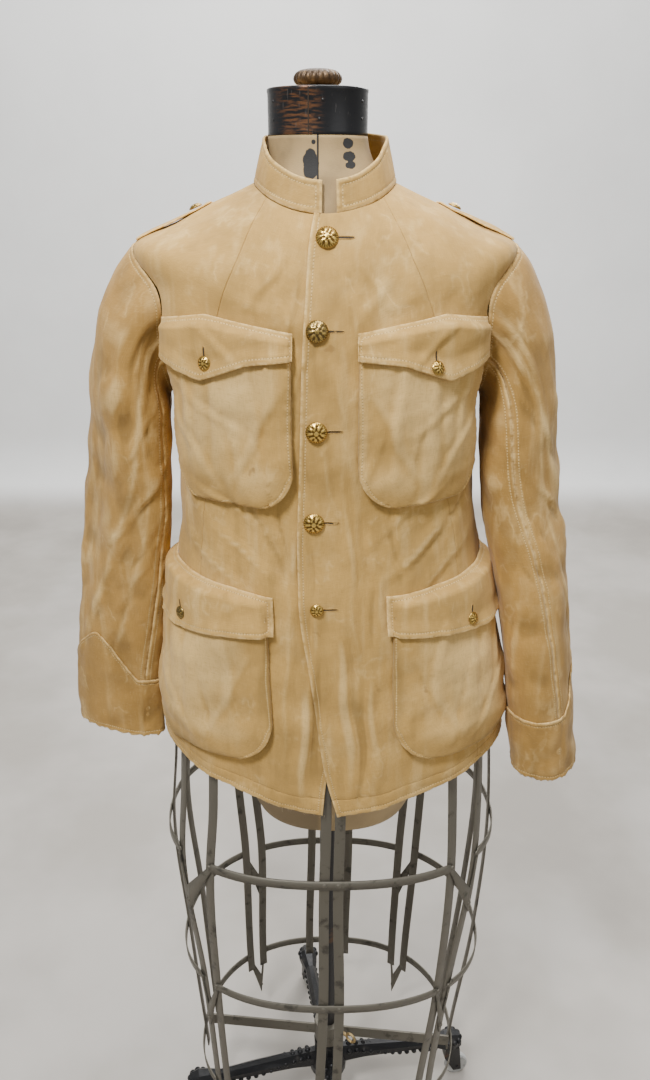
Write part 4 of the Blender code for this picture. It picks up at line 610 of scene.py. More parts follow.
def wall(name, points, middle, finish, nodes, seams="lrbt", thick=CLOTH,
         closed=False, relief_rub_and_shade=None, fade_and_highlight=None, ragged=0.0):
    """Thin cloth wall on a grid: outer = P + N (t/2 + relief), inner = P - N t/2, with the
    thickness rounded off towards every open edge.  seams names the stitched sides: left,
    right, bottom and top of the grid."""
    points = np.array(points)
    u = np.linalg.norm(np.diff(points, axis=1), axis=-1).cumsum(1)
    u = np.concatenate([np.zeros((len(points), 1)), u], 1)
    v = np.linalg.norm(np.diff(points, axis=0), axis=-1).cumsum(0)
    v = np.concatenate([np.zeros((1, points.shape[1])), v], 0)
    sides = {"l": u, "r": u[:, -1:] - u, "b": v, "t": v[-1:] - v}
    open_sides = "bt" if closed else "lrbt"
    rim = np.minimum.reduce([sides[key] for key in open_sides])
    far = np.full(u.shape, 1.0)
    edge = np.minimum.reduce([far] + [sides[key] for key in seams])
    across = np.minimum(u, u[:, -1:] - u) if not closed else far
    run = np.where(across < np.minimum(v, v[-1:] - v), v, u)
    out = grid_normals(points, closed)
    if np.sum(out * (points - middle)) < 0:
        out = -out
    seed = (sum(map(ord, name)) % 97) / 9.0
    if ragged:
        fray = np.sin(u * 2 * math.pi / 0.019 + seed) + 0.8 * np.sin(u * 2 * math.pi / 0.0071)
        fray = fray + 0.7 * np.sin(u * 2 * math.pi / 0.0031 + 2.0 * seed)
        down = points[:1] - points[1:2]
        down /= np.linalg.norm(down, axis=-1, keepdims=True)
        points += down * (ragged * fray * np.exp(-v / 0.0025))[..., None]
    round_off = np.sqrt(np.maximum(1 - (1 - np.clip(rim / (thick / 2), 0, 1)) ** 2, 0.06))
    relief = seam_relief(edge, run, seed) if seams else 0.0 * u
    outer = points + out * (thick / 2 * round_off + relief)[..., None]
    inner = points - out * (thick / 2 * round_off)[..., None]
    rows, columns = u.shape
    count = rows * columns
    quads = grid_quads(rows, columns, 0, closed)
    back = grid_quads(rows, columns, count, closed)[:, ::-1]
    rims = rim_quads(rows, columns, count, closed)
    faces = np.concatenate([quads, back, rims])
    first = outer[0, 1] - outer[0, 0]
    if np.dot(np.cross(first, outer[1, 0] - outer[0, 0]), out[0, 0]) < 0:
        faces = faces[:, ::-1]
    relief_rub_and_shade = np.zeros_like(u) if relief_rub_and_shade is None else relief_rub_and_shade
    fade_and_highlight = np.zeros_like(u) if fade_and_highlight is None else fade_and_highlight
    cloth = np.stack([u, v, edge], -1).reshape(-1, 3)
    more = np.stack([run, relief_rub_and_shade, fade_and_highlight], -1).reshape(-1, 3)
    piece = add_mesh(name, np.concatenate([outer.reshape(-1, 3), inner.reshape(-1, 3)]),
                     faces, finish, "figure", nodes,
                     {"cloth": np.tile(cloth, (2, 1)), "finish": np.tile(more, (2, 1))})
    area = quad_area(points, closed)
    width = float(u.max()) + (float(np.linalg.norm(points[0, -1] - points[0, 0]))
                              if closed else 0.0)
    return piece


def quad_area(points, closed=False):
    """Area of a grid of points."""
    if closed:
        points = np.concatenate([points, points[:, :1]], 1)
    first = points[1:, 1:] - points[:-1, :-1]
    second = points[1:, :-1] - points[:-1, 1:]
    return float(np.linalg.norm(np.cross(first, second), axis=-1).sum() / 2)


def lathe(name, rows, finish, body, nodes, capped=True):
    """Closed skin through rings of points, its ends drawn together to a point."""
    rows = [np.asarray(row, float) for row in rows]
    if capped:
        rows = ([np.broadcast_to(rows[0].mean(0), rows[0].shape)] + rows
                + [np.broadcast_to(rows[-1].mean(0), rows[-1].shape)])
    points = np.stack(rows)
    quads = grid_quads(len(points), points.shape[1], 0, True)
    middle = points.mean((0, 1))
    out = grid_normals(points[1:-1] if capped else points, True)
    used = points[1:-1] if capped else points
    if np.sum(out * (used - middle)) < 0:
        quads = quads[:, ::-1]
    return add_mesh(name, points.reshape(-1, 3), quads, finish, body, nodes)


# Shader maths

class Value:
    """A number, vector or colour inside a shader, so that its maths reads as formulas."""

    def __init__(self, tree, socket):
        self.tree = tree
        self.socket = socket

    def maths(self, operation, *others):
        """A maths node fed by this value and the others."""
        node = self.tree.nodes.new("ShaderNodeMath")
        node.operation = operation
        for slot_number, item in enumerate((self,) + others):
            if isinstance(item, Value):
                self.tree.links.new(item.socket, node.inputs[slot_number])
            else:
                node.inputs[slot_number].default_value = item
        return Value(self.tree, node.outputs[0])

    def __add__(self, other):
        return self.maths("ADD", other)

    def __mul__(self, other):
        return self.maths("MULTIPLY", other)

    def __sub__(self, other):
        return self.maths("SUBTRACT", other)

    def __truediv__(self, other):
        return self.maths("DIVIDE", other)

    __radd__ = __add__
    __rmul__ = __mul__

    def __rsub__(self, other):
        return self.maths("MULTIPLY", -1.0).maths("ADD", other)

    def __pow__(self, other):
        return self.maths("POWER", other)

    def absolute(self):
        """Size without the sign."""
        return self.maths("ABSOLUTE")

    def above(self, limit):
        """1 over the limit and 0 under it."""
        return self.maths("GREATER_THAN", limit)

    def fraction(self):
        """Part after the point."""
        return self.maths("FRACT")

    def largest(self, other):
        """The larger of two values."""
        return self.maths("MAXIMUM", other)

    def step(self, low, high):
        """Smooth step from 0 at low to 1 at high; low may be the larger."""
        node = self.tree.nodes.new("ShaderNodeMapRange")
        node.interpolation_type = "SMOOTHSTEP"
        self.tree.links.new(self.socket, node.inputs["Value"])
        node.inputs["From Min"].default_value = low
        node.inputs["From Max"].default_value = high
        return Value(self.tree, node.outputs["Result"])


class Finish:
    """A material with one Principled shader, and short ways to make its nodes."""

    def __init__(self, name):
        self.material = bpy.data.materials.new(name)
        self.material.use_nodes = True
        self.tree = self.material.node_tree
        self.shader = self.tree.nodes["Principled BSDF"]

    def node(self, kind, output=0, settings=None, **inputs):
        """Any node by type, with its settings and its inputs' values or links by name."""
        node = self.tree.nodes.new(kind)
        for key, value in (settings or {}).items():
            setattr(node, key, value)
        for key, value in inputs.items():
            place = node.inputs[key.replace("_", " ")]
            if isinstance(value, Value):
                self.tree.links.new(value.socket, place)
            else:
                place.default_value = value
        return Value(self.tree, node.outputs[output])

    def place(self):
        """Object coordinates."""
        return self.node("ShaderNodeTexCoord", "Object")

    def attribute(self, name):
        """An attribute that the mesh carries."""
        return self.node("ShaderNodeAttribute", "Vector", {"attribute_name": name})

    def split(self, vector):
        """The three parts of a vector."""
        node = self.tree.nodes.new("ShaderNodeSeparateXYZ")
        self.tree.links.new(vector.socket, node.inputs[0])
        return [Value(self.tree, output) for output in node.outputs]

    def join(self, x, y, z=0.0):
        """A vector from its parts."""
        return self.node("ShaderNodeCombineXYZ", X=x, Y=y, Z=z)

    def noise(self, vector, scale, detail=3.0, roughness=0.55):
        """Cloudy noise from 0 to 1."""
        return self.node("ShaderNodeTexNoise", "Fac", Vector=vector, Scale=scale,
                         Detail=detail, Roughness=roughness)

    def mix(self, first, second, share):
        """Colour mix: first at share 0, second at share 1."""
        node = self.tree.nodes.new("ShaderNodeMix")
        node.data_type = "RGBA"
        colours = [i for i in node.inputs if i.type == "RGBA"]
        for place, value in zip(colours, (first, second)):
            if isinstance(value, Value):
                self.tree.links.new(value.socket, place)
            else:
                place.default_value = (*value, 1.0)
        factor = [i for i in node.inputs if i.type == "VALUE"][0]
        if isinstance(share, Value):
            self.tree.links.new(share.socket, factor)
        else:
            factor.default_value = share
        output = [o for o in node.outputs if o.type == "RGBA"][0]
        return Value(self.tree, output)

    def set(self, name, value):
        """Give the shader's input a value or a link."""
        place = self.shader.inputs[name]
        if isinstance(value, Value):
            self.tree.links.new(value.socket, place)
        else:
            place.default_value = value

    def bump(self, height, strength, distance):
        """Fine relief from a height."""
        normal = self.node("ShaderNodeBump", Height=height, Strength=strength,
                           Distance=distance)
        self.set("Normal", normal)


FINISHES = {}


def finish(name, maker):
    """A finish is made once and then shared."""
    if name not in FINISHES:
        FINISHES[name] = maker()
    return FINISHES[name]


def cloth_finish(name, colour, deep, streaks):
    """Worn cotton drill: rubbed pale at edges, pale on crease ridges (partly rubbed, partly
    painted highlight), darkened in hollows as painted shade and darker at the stitch line, with
    slubs along both threads and a few soft stains."""
    coat = bpy.context.scene.coat
    pale = tuple(coat.pale)
    made = Finish(name)
    u, v, edge = made.split(made.attribute("cloth"))
    run, relief_rub_and_shade, fade_and_highlight = made.split(made.attribute("finish"))
    place = made.place()
    broad = made.noise(place, 6.5, 4.0)
    blotch = made.noise(place, 21.0, 4.0, 0.6)
    warp = made.noise(made.join(u * 900.0, v * 95.0), 1.0, 2.0)
    weft = made.noise(made.join(u * 95.0, v * 900.0, 7.0), 1.0, 2.0)
    grain = (warp + weft) * 0.5
    base = made.mix(deep, colour, broad.step(0.28, 0.66))
    base = made.mix(base, pale, blotch.step(0.50, 0.78) * 0.22)
    x, y, z = made.split(place)
    faded = made.noise(made.join(x * 52.0, y * 52.0, z * 5.5), 1.0, 2.0, 0.5)
    base = made.mix(base, pale, faded.step(0.52, 0.72) * 0.26)
    base = made.mix(base, tuple(0.70 * c for c in deep), faded.step(0.46, 0.30) * 0.30)
    crumple = made.noise(made.join(x * 30.0, y * 30.0, z * 17.0), 1.0, 3.0, 0.5)
    wrinkle = 1.0 - ((crumple - 0.5).absolute() * 26.0).step(0.0, 1.0)
    base = made.mix(base, pale, wrinkle * blotch.step(0.48, 0.62) * 0.22)
    soil = made.noise(place, 11.0, 5.0, 0.65)
    base = made.mix(base, tuple(0.62 * c for c in deep), soil.step(0.54, 0.74) * 0.36)
    rub_noise = made.noise(place, 130.0, 3.0, 0.7)
    rub = edge.step(4.2 * MM, 0.0) * rub_noise.step(0.30, 0.62) * coat.wear
    seam_rub = ((edge - STITCH_IN).absolute()).step(2.2 * MM, 0.4 * MM)
    rub = rub.largest(seam_rub * rub_noise.step(0.42, 0.70) * (0.55 * coat.wear))
    # Crease ridges painted pale: partly rubbed cloth, partly painted highlight
    ridge = relief_rub_and_shade.step(0.0008, 0.0032) * 0.45
    base = made.mix(base, pale, rub.largest(ridge))
    # Pale streaks: partly faded cloth, partly painted highlight along the sleeve creases
    base = made.mix(base, pale, fade_and_highlight * blotch.step(0.20, 0.55) * streaks)
    # Painted shade: crease hollows, the hem's fold and pocket rims darkened; the stitch line is
    # darkened too
    hollow_shade = relief_rub_and_shade.step(-0.0004, -0.0020) * 0.45
    line = ((edge - STITCH_IN).absolute()).step(1.1 * MM, 0.3 * MM)
    base = made.mix(base, tuple(0.45 * c for c in deep), hollow_shade.largest(line * 0.55))
    stitch = ((edge - STITCH_IN).absolute()).step(0.75 * MM, 0.35 * MM)
    stitch = stitch * ((run / (3.4 * MM)).fraction()).step(0.66, 0.60)
    base = made.mix(base, tuple(min(1.0, 0.92 * c) for c in pale), stitch * 0.75)
    stain = made.noise(place, 46.0, 2.0, 0.5).step(0.70, 0.76)
    stain = stain * made.noise(place, 8.0, 2.0).step(0.52, 0.64)
    base = made.mix(base, (0.17, 0.085, 0.030), stain * 0.55)
    base = made.mix(base, tuple(0.62 * c for c in colour), grain.step(0.52, 0.36) * 0.30)
    base = made.mix(base, pale, grain.step(0.54, 0.70) * 0.16)
    made.set("Base Color", base)
    made.set("Roughness", 0.92)
    made.set("Specular IOR Level", 0.18)
    made.set("Sheen Weight", 0.10)
    made.set("Sheen Roughness", 0.5)
    made.bump(grain * 0.12 + rub_noise * 0.04 + crumple * 0.84, 0.60, 0.0060)
    return made.material


def body_cloth():
    """Cloth of the body, its pockets and the collar."""
    coat = bpy.context.scene.coat
    return finish("body_cloth", lambda: cloth_finish(
        "body_cloth", tuple(coat.cloth), tuple(0.74 * c for c in coat.cloth), 0.3))


def sleeve_cloth():
    """Cloth of the sleeves, darker, with stronger pale streaks of faded cloth and painted
    highlight.
    """
    coat = bpy.context.scene.coat
    return finish("sleeve_cloth", lambda: cloth_finish(
        "sleeve_cloth", tuple(coat.sleeve), tuple(0.72 * c for c in coat.sleeve), 0.75))


def metal_finish(name, colour, worn, rough, metal, wear_low=0.56, wear_high=0.70, scale=60.0,
                 bump=0.0006):
    """Painted or bare metal with patches where the surface is rubbed or dusty."""
    made = Finish(name)
    place = made.place()
    patch = made.noise(place, scale, 5.0, 0.62)
    fine = made.noise(place, scale * 7.0, 3.0, 0.6)
    made.set("Base Color", made.mix(colour, worn, patch.step(wear_low, wear_high)))
    made.set("Roughness", patch * 0.25 + (rough - 0.10))
    made.set("Metallic", metal)
    made.bump(fine, 0.35, bump)
    return made.material


def brass_finish():
    """Gilt brass, dark in the recesses that the dome's own shape gives."""
    def make():
        brass = tuple(bpy.context.scene.stand.brass)
        made = Finish("button_brass")
        height, tarnish, _ = made.split(made.attribute("finish"))
        fine = made.noise(made.place(), 900.0, 3.0, 0.6)
        base = made.mix((0.16, 0.085, 0.020), brass, height.step(-0.00012, 0.00018))
        base = made.mix(base, (0.13, 0.10, 0.045), tarnish * fine.step(0.25, 0.60))
        made.set("Base Color", base)
        made.set("Metallic", 0.95)
        made.set("Roughness", fine * 0.20 + 0.22)
        return made.material
    return finish("button_brass", make)


def canvas_finish():
    """Old canvas of the form: flaked dark patches on the neck and a dark split in front."""
    def make():
        canvas = tuple(bpy.context.scene.stand.canvas)
        made = Finish("form_canvas")
        place = made.place()
        x, y, z = made.split(place)
        x = x + float(PART_MIDDLE[0])
        broad = made.noise(place, 14.0, 4.0)
        flake = made.noise(place, 95.0, 3.0, 0.6)
        base = made.mix(tuple(0.62 * c for c in canvas), canvas, broad.step(0.34, 0.62))
        on_neck = z.step(1.40, 1.43)
        in_front = y.step(-0.020, -0.030)
        for at_x, at_z, wide, tall in NECK_BLOTS:
            apart = ((x - at_x) / wide) ** 2.0 + ((z - at_z) / tall) ** 2.0
            blot = (apart + flake * 1.6).step(1.90, 1.70) * in_front
            base = made.mix(base, (0.016, 0.015, 0.014), blot)
        under = z.step(0.716, 0.706) * x.step(-0.004, -0.012)
        base = made.mix(base, (0.030, 0.024, 0.018), under)
        split = ((x - NECK_SPLIT).absolute()).step(0.0014, 0.0006) * on_neck
        base = made.mix(base, (0.010, 0.009, 0.008), split)
        low_mark = z.step(0.735, 0.715)
        base = made.mix(base, (0.60, 0.44, 0.24), low_mark * 0.5)
        thread = made.noise(made.join(x * 700.0, z * 700.0), 1.0, 2.0)
        made.set("Base Color", base)
        made.set("Roughness", 0.85)
        made.bump(thread + flake * 0.8, 0.35, 0.0008)
        return made.material
    return finish("form_canvas", make)


def black_metal():
    """Black enamel of the post and the casters."""
    return finish("black_enamel", lambda: metal_finish(
        "black_enamel", (0.018, 0.017, 0.017), (0.085, 0.045, 0.022), 0.36, 0.35,
        0.58, 0.72, 24.0))


def strap_metal():
    """Dull iron of the cage."""
    strap = tuple(bpy.context.scene.stand.strap)
    return finish("strap_iron", lambda: metal_finish(
        "strap_iron", strap, tuple(0.45 * c for c in strap), 0.46, 0.45, 0.55, 0.68, 38.0))


# Body of the coat

BODY_LENGTH = 0.72              # from hem to neckline along the front
HEM_LINE = 21.0 * MM            # stitches of the hem's fold
FACING_LINE = 50.0 * MM         # the facing's edge, inside the front edge


def hem_to_neck(count=112):
    """Levels from hem to neckline with close steps at both ends and at the hem's stitches."""
    line = (HEM_LINE + np.array((-1.6, -0.8, 0.0, 0.8, 1.6)) * MM) / BODY_LENGTH
    return np.unique(np.concatenate([spread(BODY_LENGTH, count), line]))


def facing(table, side):
    """Small puckers where the facing is caught down inside a front's edge:
    ripple(z) * exp(-((distance from the edge - line) / width)^2)"""
    def height(angle, level):
        x = ring("centre_x", level) + body_radius(angle, level) * np.cos(angle)
        away = side * (x - smooth_rows(table[:, 0], table[:, 1], level)) - FACING_LINE
        along = level * BODY_LENGTH
        ripple = np.sin(2 * math.pi * along / (13 * MM) + 2 * np.sin(along * 29 + side))
        reach = np.exp(-(away / (4.5 * MM)) ** 2) * ease(0.66, 0.52, level)
        return (0.55 * MM * ripple - 0.45 * MM) * reach
    return height


def crease_rub_and_shade(angle, level):
    """Height of the creases alone, which the finish paints as pale ridges, partly rubbed and
    partly painted highlight, and as hollows darkened with painted shade.
    """
    degrees = np.degrees(angle)
    return crease_height(BODY_CREASES, degrees, level, 360.0, 0.0030, 0.73)


def panel(name, start, stop, columns, seams, height=None):
    """One body panel between two edge curves, each an angle for every level."""
    level = hem_to_neck()
    first, last = start(level), stop(level)
    trim = 0.05 * MM / body_radius((first + last) / 2, level) * np.sign(last - first)
    first, last = first + trim, last - trim
    widest = float(np.max(np.abs(last - first) * body_radius((first + last) / 2, level)))
    share = spread(widest, columns)
    angle = first[:, None] + (last - first)[:, None] * share[None, :]
    level = np.broadcast_to(level[:, None], angle.shape)
    lift = 0.0 if height is None else height(angle, level)
    hem = np.exp(-((level * BODY_LENGTH - HEM_LINE) / (0.9 * MM)) ** 2)
    points = on_body(angle, level, lift - 0.5 * MM * hem)
    # The hem's fold line is darkened as painted shade in its groove; crease ridges and hollows get
    # painted highlight and shade
    wall(name + "_cloth", points, np.array((0.0, 0.0, 1.1)), body_cloth(), [name],
         seams, relief_rub_and_shade=crease_rub_and_shade(angle, level) - 2.0 * MM * hem,
         ragged=0.35 * MM)


def make_body():
    """Two fronts, two side fronts and two backs."""
    def right_seam(level):
        return math.pi - seam_angle(level)

    def left_back_side(level):
        return -armhole_angle(level, back=True)

    def right_back_side(level):
        return math.pi + armhole_angle(level, back=True)

    left_facing, right_facing = facing(LAP_EDGE, 1), facing(UNDER_EDGE, -1)
    panel("front_left", lambda level: edge_angle(LAP_EDGE, level), seam_angle, 60, "lb",
          lambda angle, level: lap_lift(angle, level) + left_facing(angle, level))
    panel("front_right", right_seam, lambda level: edge_angle(UNDER_EDGE, level), 54, "rb",
          right_facing)
    panel("side_front_left", seam_angle, armhole_angle, 36, "b")
    panel("side_front_right", lambda level: math.pi - armhole_angle(level), right_seam, 36,
          "b")
    panel("back_left", left_back_side, lambda level: np.full_like(level, -math.pi / 2), 60,
          "b")
    panel("back_right", lambda level: np.full_like(level, 1.5 * math.pi), right_back_side,
          60, "b")


def pocket_rise(pocket, arc, z):
    """How far a pocket's middle stands off the panel: full inside, low at its edges."""
    across = (np.abs(arc) - pocket["inner"]) / (pocket["outer"] - pocket["inner"])
    along = (z - pocket["bottom"]) / (pocket["top"] - pocket["bottom"])
    across = np.clip(across, 0, 1)
    along = np.clip(along, 0, 1)
    belly = np.clip(4 * across * (1 - across), 0, 1) ** 0.6
    fall = np.clip(along * 5.0, 0, 1) ** 0.6
    wide, tall = pocket["outer"] - pocket["inner"], pocket["top"] - pocket["bottom"]
    inside = np.minimum(np.minimum(across, 1 - across) * wide, along * tall)
    gusset = GUSSET * (0.75 + 0.25 * np.sin(along * 9.0 + across * 5.0))
    ripple = crease_height(POCKET_CREASES, across, along, None,
                           pocket["outer"] - pocket["inner"],
                           pocket["top"] - pocket["bottom"])
    full = pocket["puff"] * belly * fall + ripple * ease(0.0, 0.25, belly * fall)
    return LIE + full + gusset * ease(0.0, 1.6 * MM, inside)


def flap_edges(flap, share):
    """Top and lower edge heights of a flap along its width, the point a little rounded."""
    top = np.interp(share, (0, flap["point"], 1), flap["top"])
    marks = np.array((0, 0.5 * flap["point"], flap["point"], 0.5 + 0.5 * flap["point"], 1))
    fine = np.linspace(0, 1, 101)
    low = np.interp(fine, marks, flap["low"])
    kernel = np.exp(-np.linspace(-2, 2, 9) ** 2)
    padded = np.pad(low, 4, mode="edge")
    low = np.convolve(padded, kernel / kernel.sum(), mode="valid")
    return top, np.interp(share, fine, low)


def flap_rise(flap, pocket, arc, z):
    """Flap height: on the panel along its top seam, over the pocket below."""
    share = (np.abs(arc) - flap["inner"]) / (flap["outer"] - flap["inner"])
    top, low = flap_edges(flap, share)
    settle = ease(0.0, 0.012, top - z)
    over = pocket_rise(pocket, arc, np.minimum(z, pocket["top"])) + LIE + 0.0004
    curl = 0.0034 * ease(0.022, 0.0, z - low)
    return LIE + (over + curl - LIE) * settle


def make_pocket(name, pocket, side):
    """Patch pocket with rounded lower corners, bellied out a little."""
    tall = pocket["top"] - pocket["bottom"]
    drop = pocket["bottom"] + tall * spread(tall, 46)
    corner = pocket["corner"]
    low = np.clip(corner - (drop - pocket["bottom"]), 0, corner)
    cut = np.minimum(corner - np.sqrt(np.maximum(corner ** 2 - low ** 2, 0)), 0.8 * corner)
    across = spread(pocket["outer"] - pocket["inner"], 44)
    first, last = pocket["inner"] + cut, pocket["outer"] - cut
    arc = first[:, None] + (last - first)[:, None] * across
    z = np.broadcast_to(drop[:, None], arc.shape)
    rise = pocket_rise(pocket, arc, z)
    # Painted light from the pocket's relief: its raised face paler as painted highlight, its rim
    # darker as painted shade
    relief_rub_and_shade = rise - LIE - pocket["puff"] * 0.9
    wall(name + "_cloth", on_cloth(side * arc, z, rise), np.array((0.0, 0.0, 1.1)),
         body_cloth(), [name], "lrb", relief_rub_and_shade=relief_rub_and_shade * 0.6)


def make_flap(name, flap, pocket, side):
    """Pointed flap, seated on the panel at its top and lying over the pocket below."""
    share = spread(flap["outer"] - flap["inner"], 46)
    top, low = flap_edges(flap, share)
    down = spread(float(np.min(top - low)), 14)[:, None]
    z = low + (top - low) * down
    arc = np.broadcast_to(flap["inner"] + (flap["outer"] - flap["inner"]) * share, z.shape)
    rise = flap_rise(flap, pocket, arc, z)
    wall(name + "_cloth", on_cloth(side * arc, z, rise), np.array((0.0, 0.0, 1.1)),
         body_cloth(), [name], "lrbt")


def make_pockets():
    """Chest and hip pockets with their flaps on both fronts."""
    for side, word in ((1, "left"), (-1, "right")):
        make_pocket("chest_pocket_" + word, CHEST_POCKET, side)
        make_flap("chest_flap_" + word, CHEST_FLAP, CHEST_POCKET, side)
        make_pocket("hip_pocket_" + word, HIP_POCKET, side)
        make_flap("hip_flap_" + word, HIP_FLAP, HIP_POCKET, side)


def make_collar():
    """Standing collar: a band from the neckline up to its top edge, open at the front."""
    top = np.array([1.0])
    first = angle_at_offset(top, np.array([COLLAR_LEFT_X]))[0]
    last = angle_at_offset(top, np.array([COLLAR_RIGHT_X]))[0] - 2 * math.pi
    angle = first + (last - first) * spread(0.44, 130)
    level = np.ones_like(angle)
    base = body_base(angle, level)
    inward = base - body_base(angle, level - 0.01)
    inward /= np.linalg.norm(inward, axis=-1, keepdims=True)
    base = base + inward * 0.0010
    front = np.clip(np.sin(angle), 0, 1) ** 1.5
    back = np.clip(-np.sin(angle), 0, 1) ** 1.5
    side = 1 - front - back

    def blend(table):
        return front * table["front"] + side * table["side"] + back * table["back"]

    radial = np.stack([np.cos(angle), -np.sin(angle), np.zeros_like(angle)], -1)
    share = spread(0.040, 12)[:, None, None]
    rise = (blend(COLLAR_TOP) - base[:, 2])[None, :, None] * share
    lean = blend(COLLAR_LEAN)[None, :, None] * share ** 1.2
    wave = 0.0011 * np.sin(angle * 5.0 + 0.8) + 0.0007 * np.sin(angle * 11.0)
    middle = base[None] + rise * np.array([0.0, 0.0, 1.0]) - radial[None] * lean
    middle = middle + radial[None] * wave[None, :, None] * share
    wall("collar_cloth", middle, np.array((0.0, -0.010, 1.46)), body_cloth(), ["collar"],
         "lrbt", COLLAR_CLOTH)


def make_straps():
    """Shoulder straps along the shoulder seams, rounded at their buttoned end."""
    for side, word in ((1, "left"), (-1, "right")):
        level = SHOULDER + 0.006 + 0.076 * spread(0.09, 26)
        end = np.clip((level - 0.940) / 0.022, 0, 1)
        half = 0.0195 - 0.0095 * end ** 2
        across = -1 + 2 * spread(0.038, 12)
        y = half[:, None] * across
        rows = np.broadcast_to(level[:, None], y.shape)
        angle = np.zeros_like(y)
        for _ in range(14):
            angle = np.arcsin(np.clip(-y / body_radius(angle, rows), -1, 1))
        if side < 0:
            angle = math.pi - angle
        bow = 0.0016 * np.sin(math.pi * np.clip((rows - 0.90) / 0.05, 0, 1))
        wall("shoulder_strap_%s_cloth" % word, on_body(angle, rows, LIE + 0.0004 + bow),
             np.array((0.0, 0.0, 1.1)), body_cloth(), ["shoulder_strap_" + word],
             "lrt")


# Sleeves

def armhole_loop(side, count=44):
    """Points round the armhole, with the body's outward direction and the direction into
    the hole at each."""
    half = (SHOULDER - UNDERARM) / 2
    middle = (SHOULDER + UNDERARM) / 2
    level = middle - half * np.cos(np.linspace(0, math.pi, count))
    front = armhole_angle(level)
    back = -armhole_angle(level, back=True)
    angle = np.concatenate([front, back[-2:0:-1]])
    rows = np.concatenate([level, level[-2:0:-1]])
    if side < 0:
        angle = math.pi - angle
    points = body_base(angle, rows)
    out = body_normal(angle, rows)
    along = np.roll(points, -1, 0) - np.roll(points, 1, 0)
    into = np.cross(out, along)
    into /= np.linalg.norm(into, axis=-1, keepdims=True)
    middle = points.mean(0)
    into *= np.sign(np.sum(into * (middle - points), -1))[:, None]
    return points, out, into


def sleeve_table(table, column, z):
    """A named column of a sleeve's ring table at any height."""
    rows = table[::-1]
    return smooth_rows(rows[:, 0], rows[:, SLEEVE_COLUMNS.index(column)], z)


def sleeve_ring(table, side, z, place):
    """Oval ring: middle + long_way a cos t + short_way b sin t, turned by the twist."""
    angle = np.radians(sleeve_table(table, "seam", z)) + place
    twist = np.radians(sleeve_table(table, "twist", z))
    long_way = np.stack([-side * np.sin(twist), -np.cos(twist), 0 * z], -1)
    short_way = np.stack([side * np.cos(twist), -np.sin(twist), 0 * z], -1)
    fold = np.zeros(np.broadcast(z, place).shape)
    for at, height, reach, width, depth in SLEEVE_FOLDS:
        across = wrap(place - math.radians(at)) / math.radians(width)
        fold = fold + depth * np.exp(-across ** 2 - ((z - height) / reach) ** 2)
    long_half = sleeve_table(table, "long", z) + fold
    short_half = sleeve_table(table, "short", z) + fold
    middle = np.stack([side * sleeve_table(table, "x", z), sleeve_table(table, "y", z), z], -1)
    return (middle + long_way * (long_half * np.cos(angle))[..., None]
            + short_way * (short_half * np.sin(angle))[..., None])


def sleeve_grid(side):
    """Whole sleeve: rows from the armhole down, columns round from the loop's points, with the
    creases as heights over it and the pale streaks of faded cloth and painted highlight beside
    them."""
    table = LEFT_SLEEVE if side > 0 else RIGHT_SLEEVE
    loop, out, into = armhole_loop(side)
    start = loop + out * (CLOTH / 2) + into * 0.0004
    middle = loop.mean(0)
    reach_y = np.ptp(loop[:, 1]) / 2
    reach_z = np.ptp(loop[:, 2]) / 2
    around = np.arctan2((loop[:, 2] - middle[2]) / reach_z, -(loop[:, 1] - middle[1]) / reach_y)
    place = around - math.radians(-28.0)
    top = table[0, 0]
    flat = np.full(len(place), top)
    end = sleeve_ring(table, side, flat, place)
    below = sleeve_ring(table, side, flat - 0.02, place)
    chord = np.linalg.norm(end - start, axis=-1, keepdims=True)
    leave = np.stack([side * (0.75 + 0 * place), 0 * place, -0.45 - 0.25 * np.sin(around)], -1)
    leave[:, 1] = -0.25 * np.cos(around)
    leave /= np.linalg.norm(leave, axis=-1, keepdims=True)
    arrive = (below - end) / np.linalg.norm(below - end, axis=-1, keepdims=True)
    share = np.concatenate([np.array(EDGE_STEPS[:-1]) * MM / 0.16,
                            np.linspace(EDGE_STEPS[-1] * MM / 0.16, 1, 26)[:-1]])
    share = share[:, None, None]
    s2, s3 = share ** 2, share ** 3
    cap = ((2 * s3 - 3 * s2 + 1) * start + (s3 - 2 * s2 + share) * leave * chord * 0.9
           + (3 * s2 - 2 * s3) * end + (s3 - s2) * arrive * chord * 1.1)
    low = table[-1, 0]
    heights = np.concatenate([np.linspace(top, low + 0.0084, 92),
                              low + np.array(EDGE_STEPS[:-1][::-1]) * MM])
    tube = np.stack([sleeve_ring(table, side, np.full(len(place), z), place)
                     for z in heights])
    grid = np.concatenate([cap, tube])
    normal = grid_normals(grid, closed=True)
    if np.sum(normal * (grid - grid.mean(1, keepdims=True))) < 0:
        normal = -normal
    degrees = np.degrees(place)[None, :] + (0 if side > 0 else 9)
    z = grid[..., 2] + (0 if side > 0 else 0.012)
    detail = crease_height(SLEEVE_CREASES, degrees, z, 360.0, 0.00095, 1.0)
    detail = detail + unevenness(degrees * 0.00095, z, 2.0 + side)
    streak = np.clip(sum(strength * np.exp(-(near_line(row, degrees, z) / (wide * MM)) ** 2)
                         for row, wide, strength in
                         ((r[:4], r[4], r[5]) for r in SLEEVE_STREAKS)), 0, 1)
    fall_in = ease(0.0, 0.03, np.arange(len(grid))[:, None] / len(grid))
    grid = grid + normal * (detail * fall_in * crease_scale())[..., None]
    return grid, place, detail, streak


def near_line(row, degrees, z):
    """Distance in metres from a line between two places on a sleeve."""
    x1, z1, x2, z2 = row
    dx, dz = (x2 - x1) * 0.00095, z2 - z1
    away = ((degrees - x1 + 180) % 360 - 180) * 0.00095
    up = z - z1
    along = np.clip((away * dx + up * dz) / (dx * dx + dz * dz), 0, 1)
    return np.hypot(away - along * dx, up - along * dz)


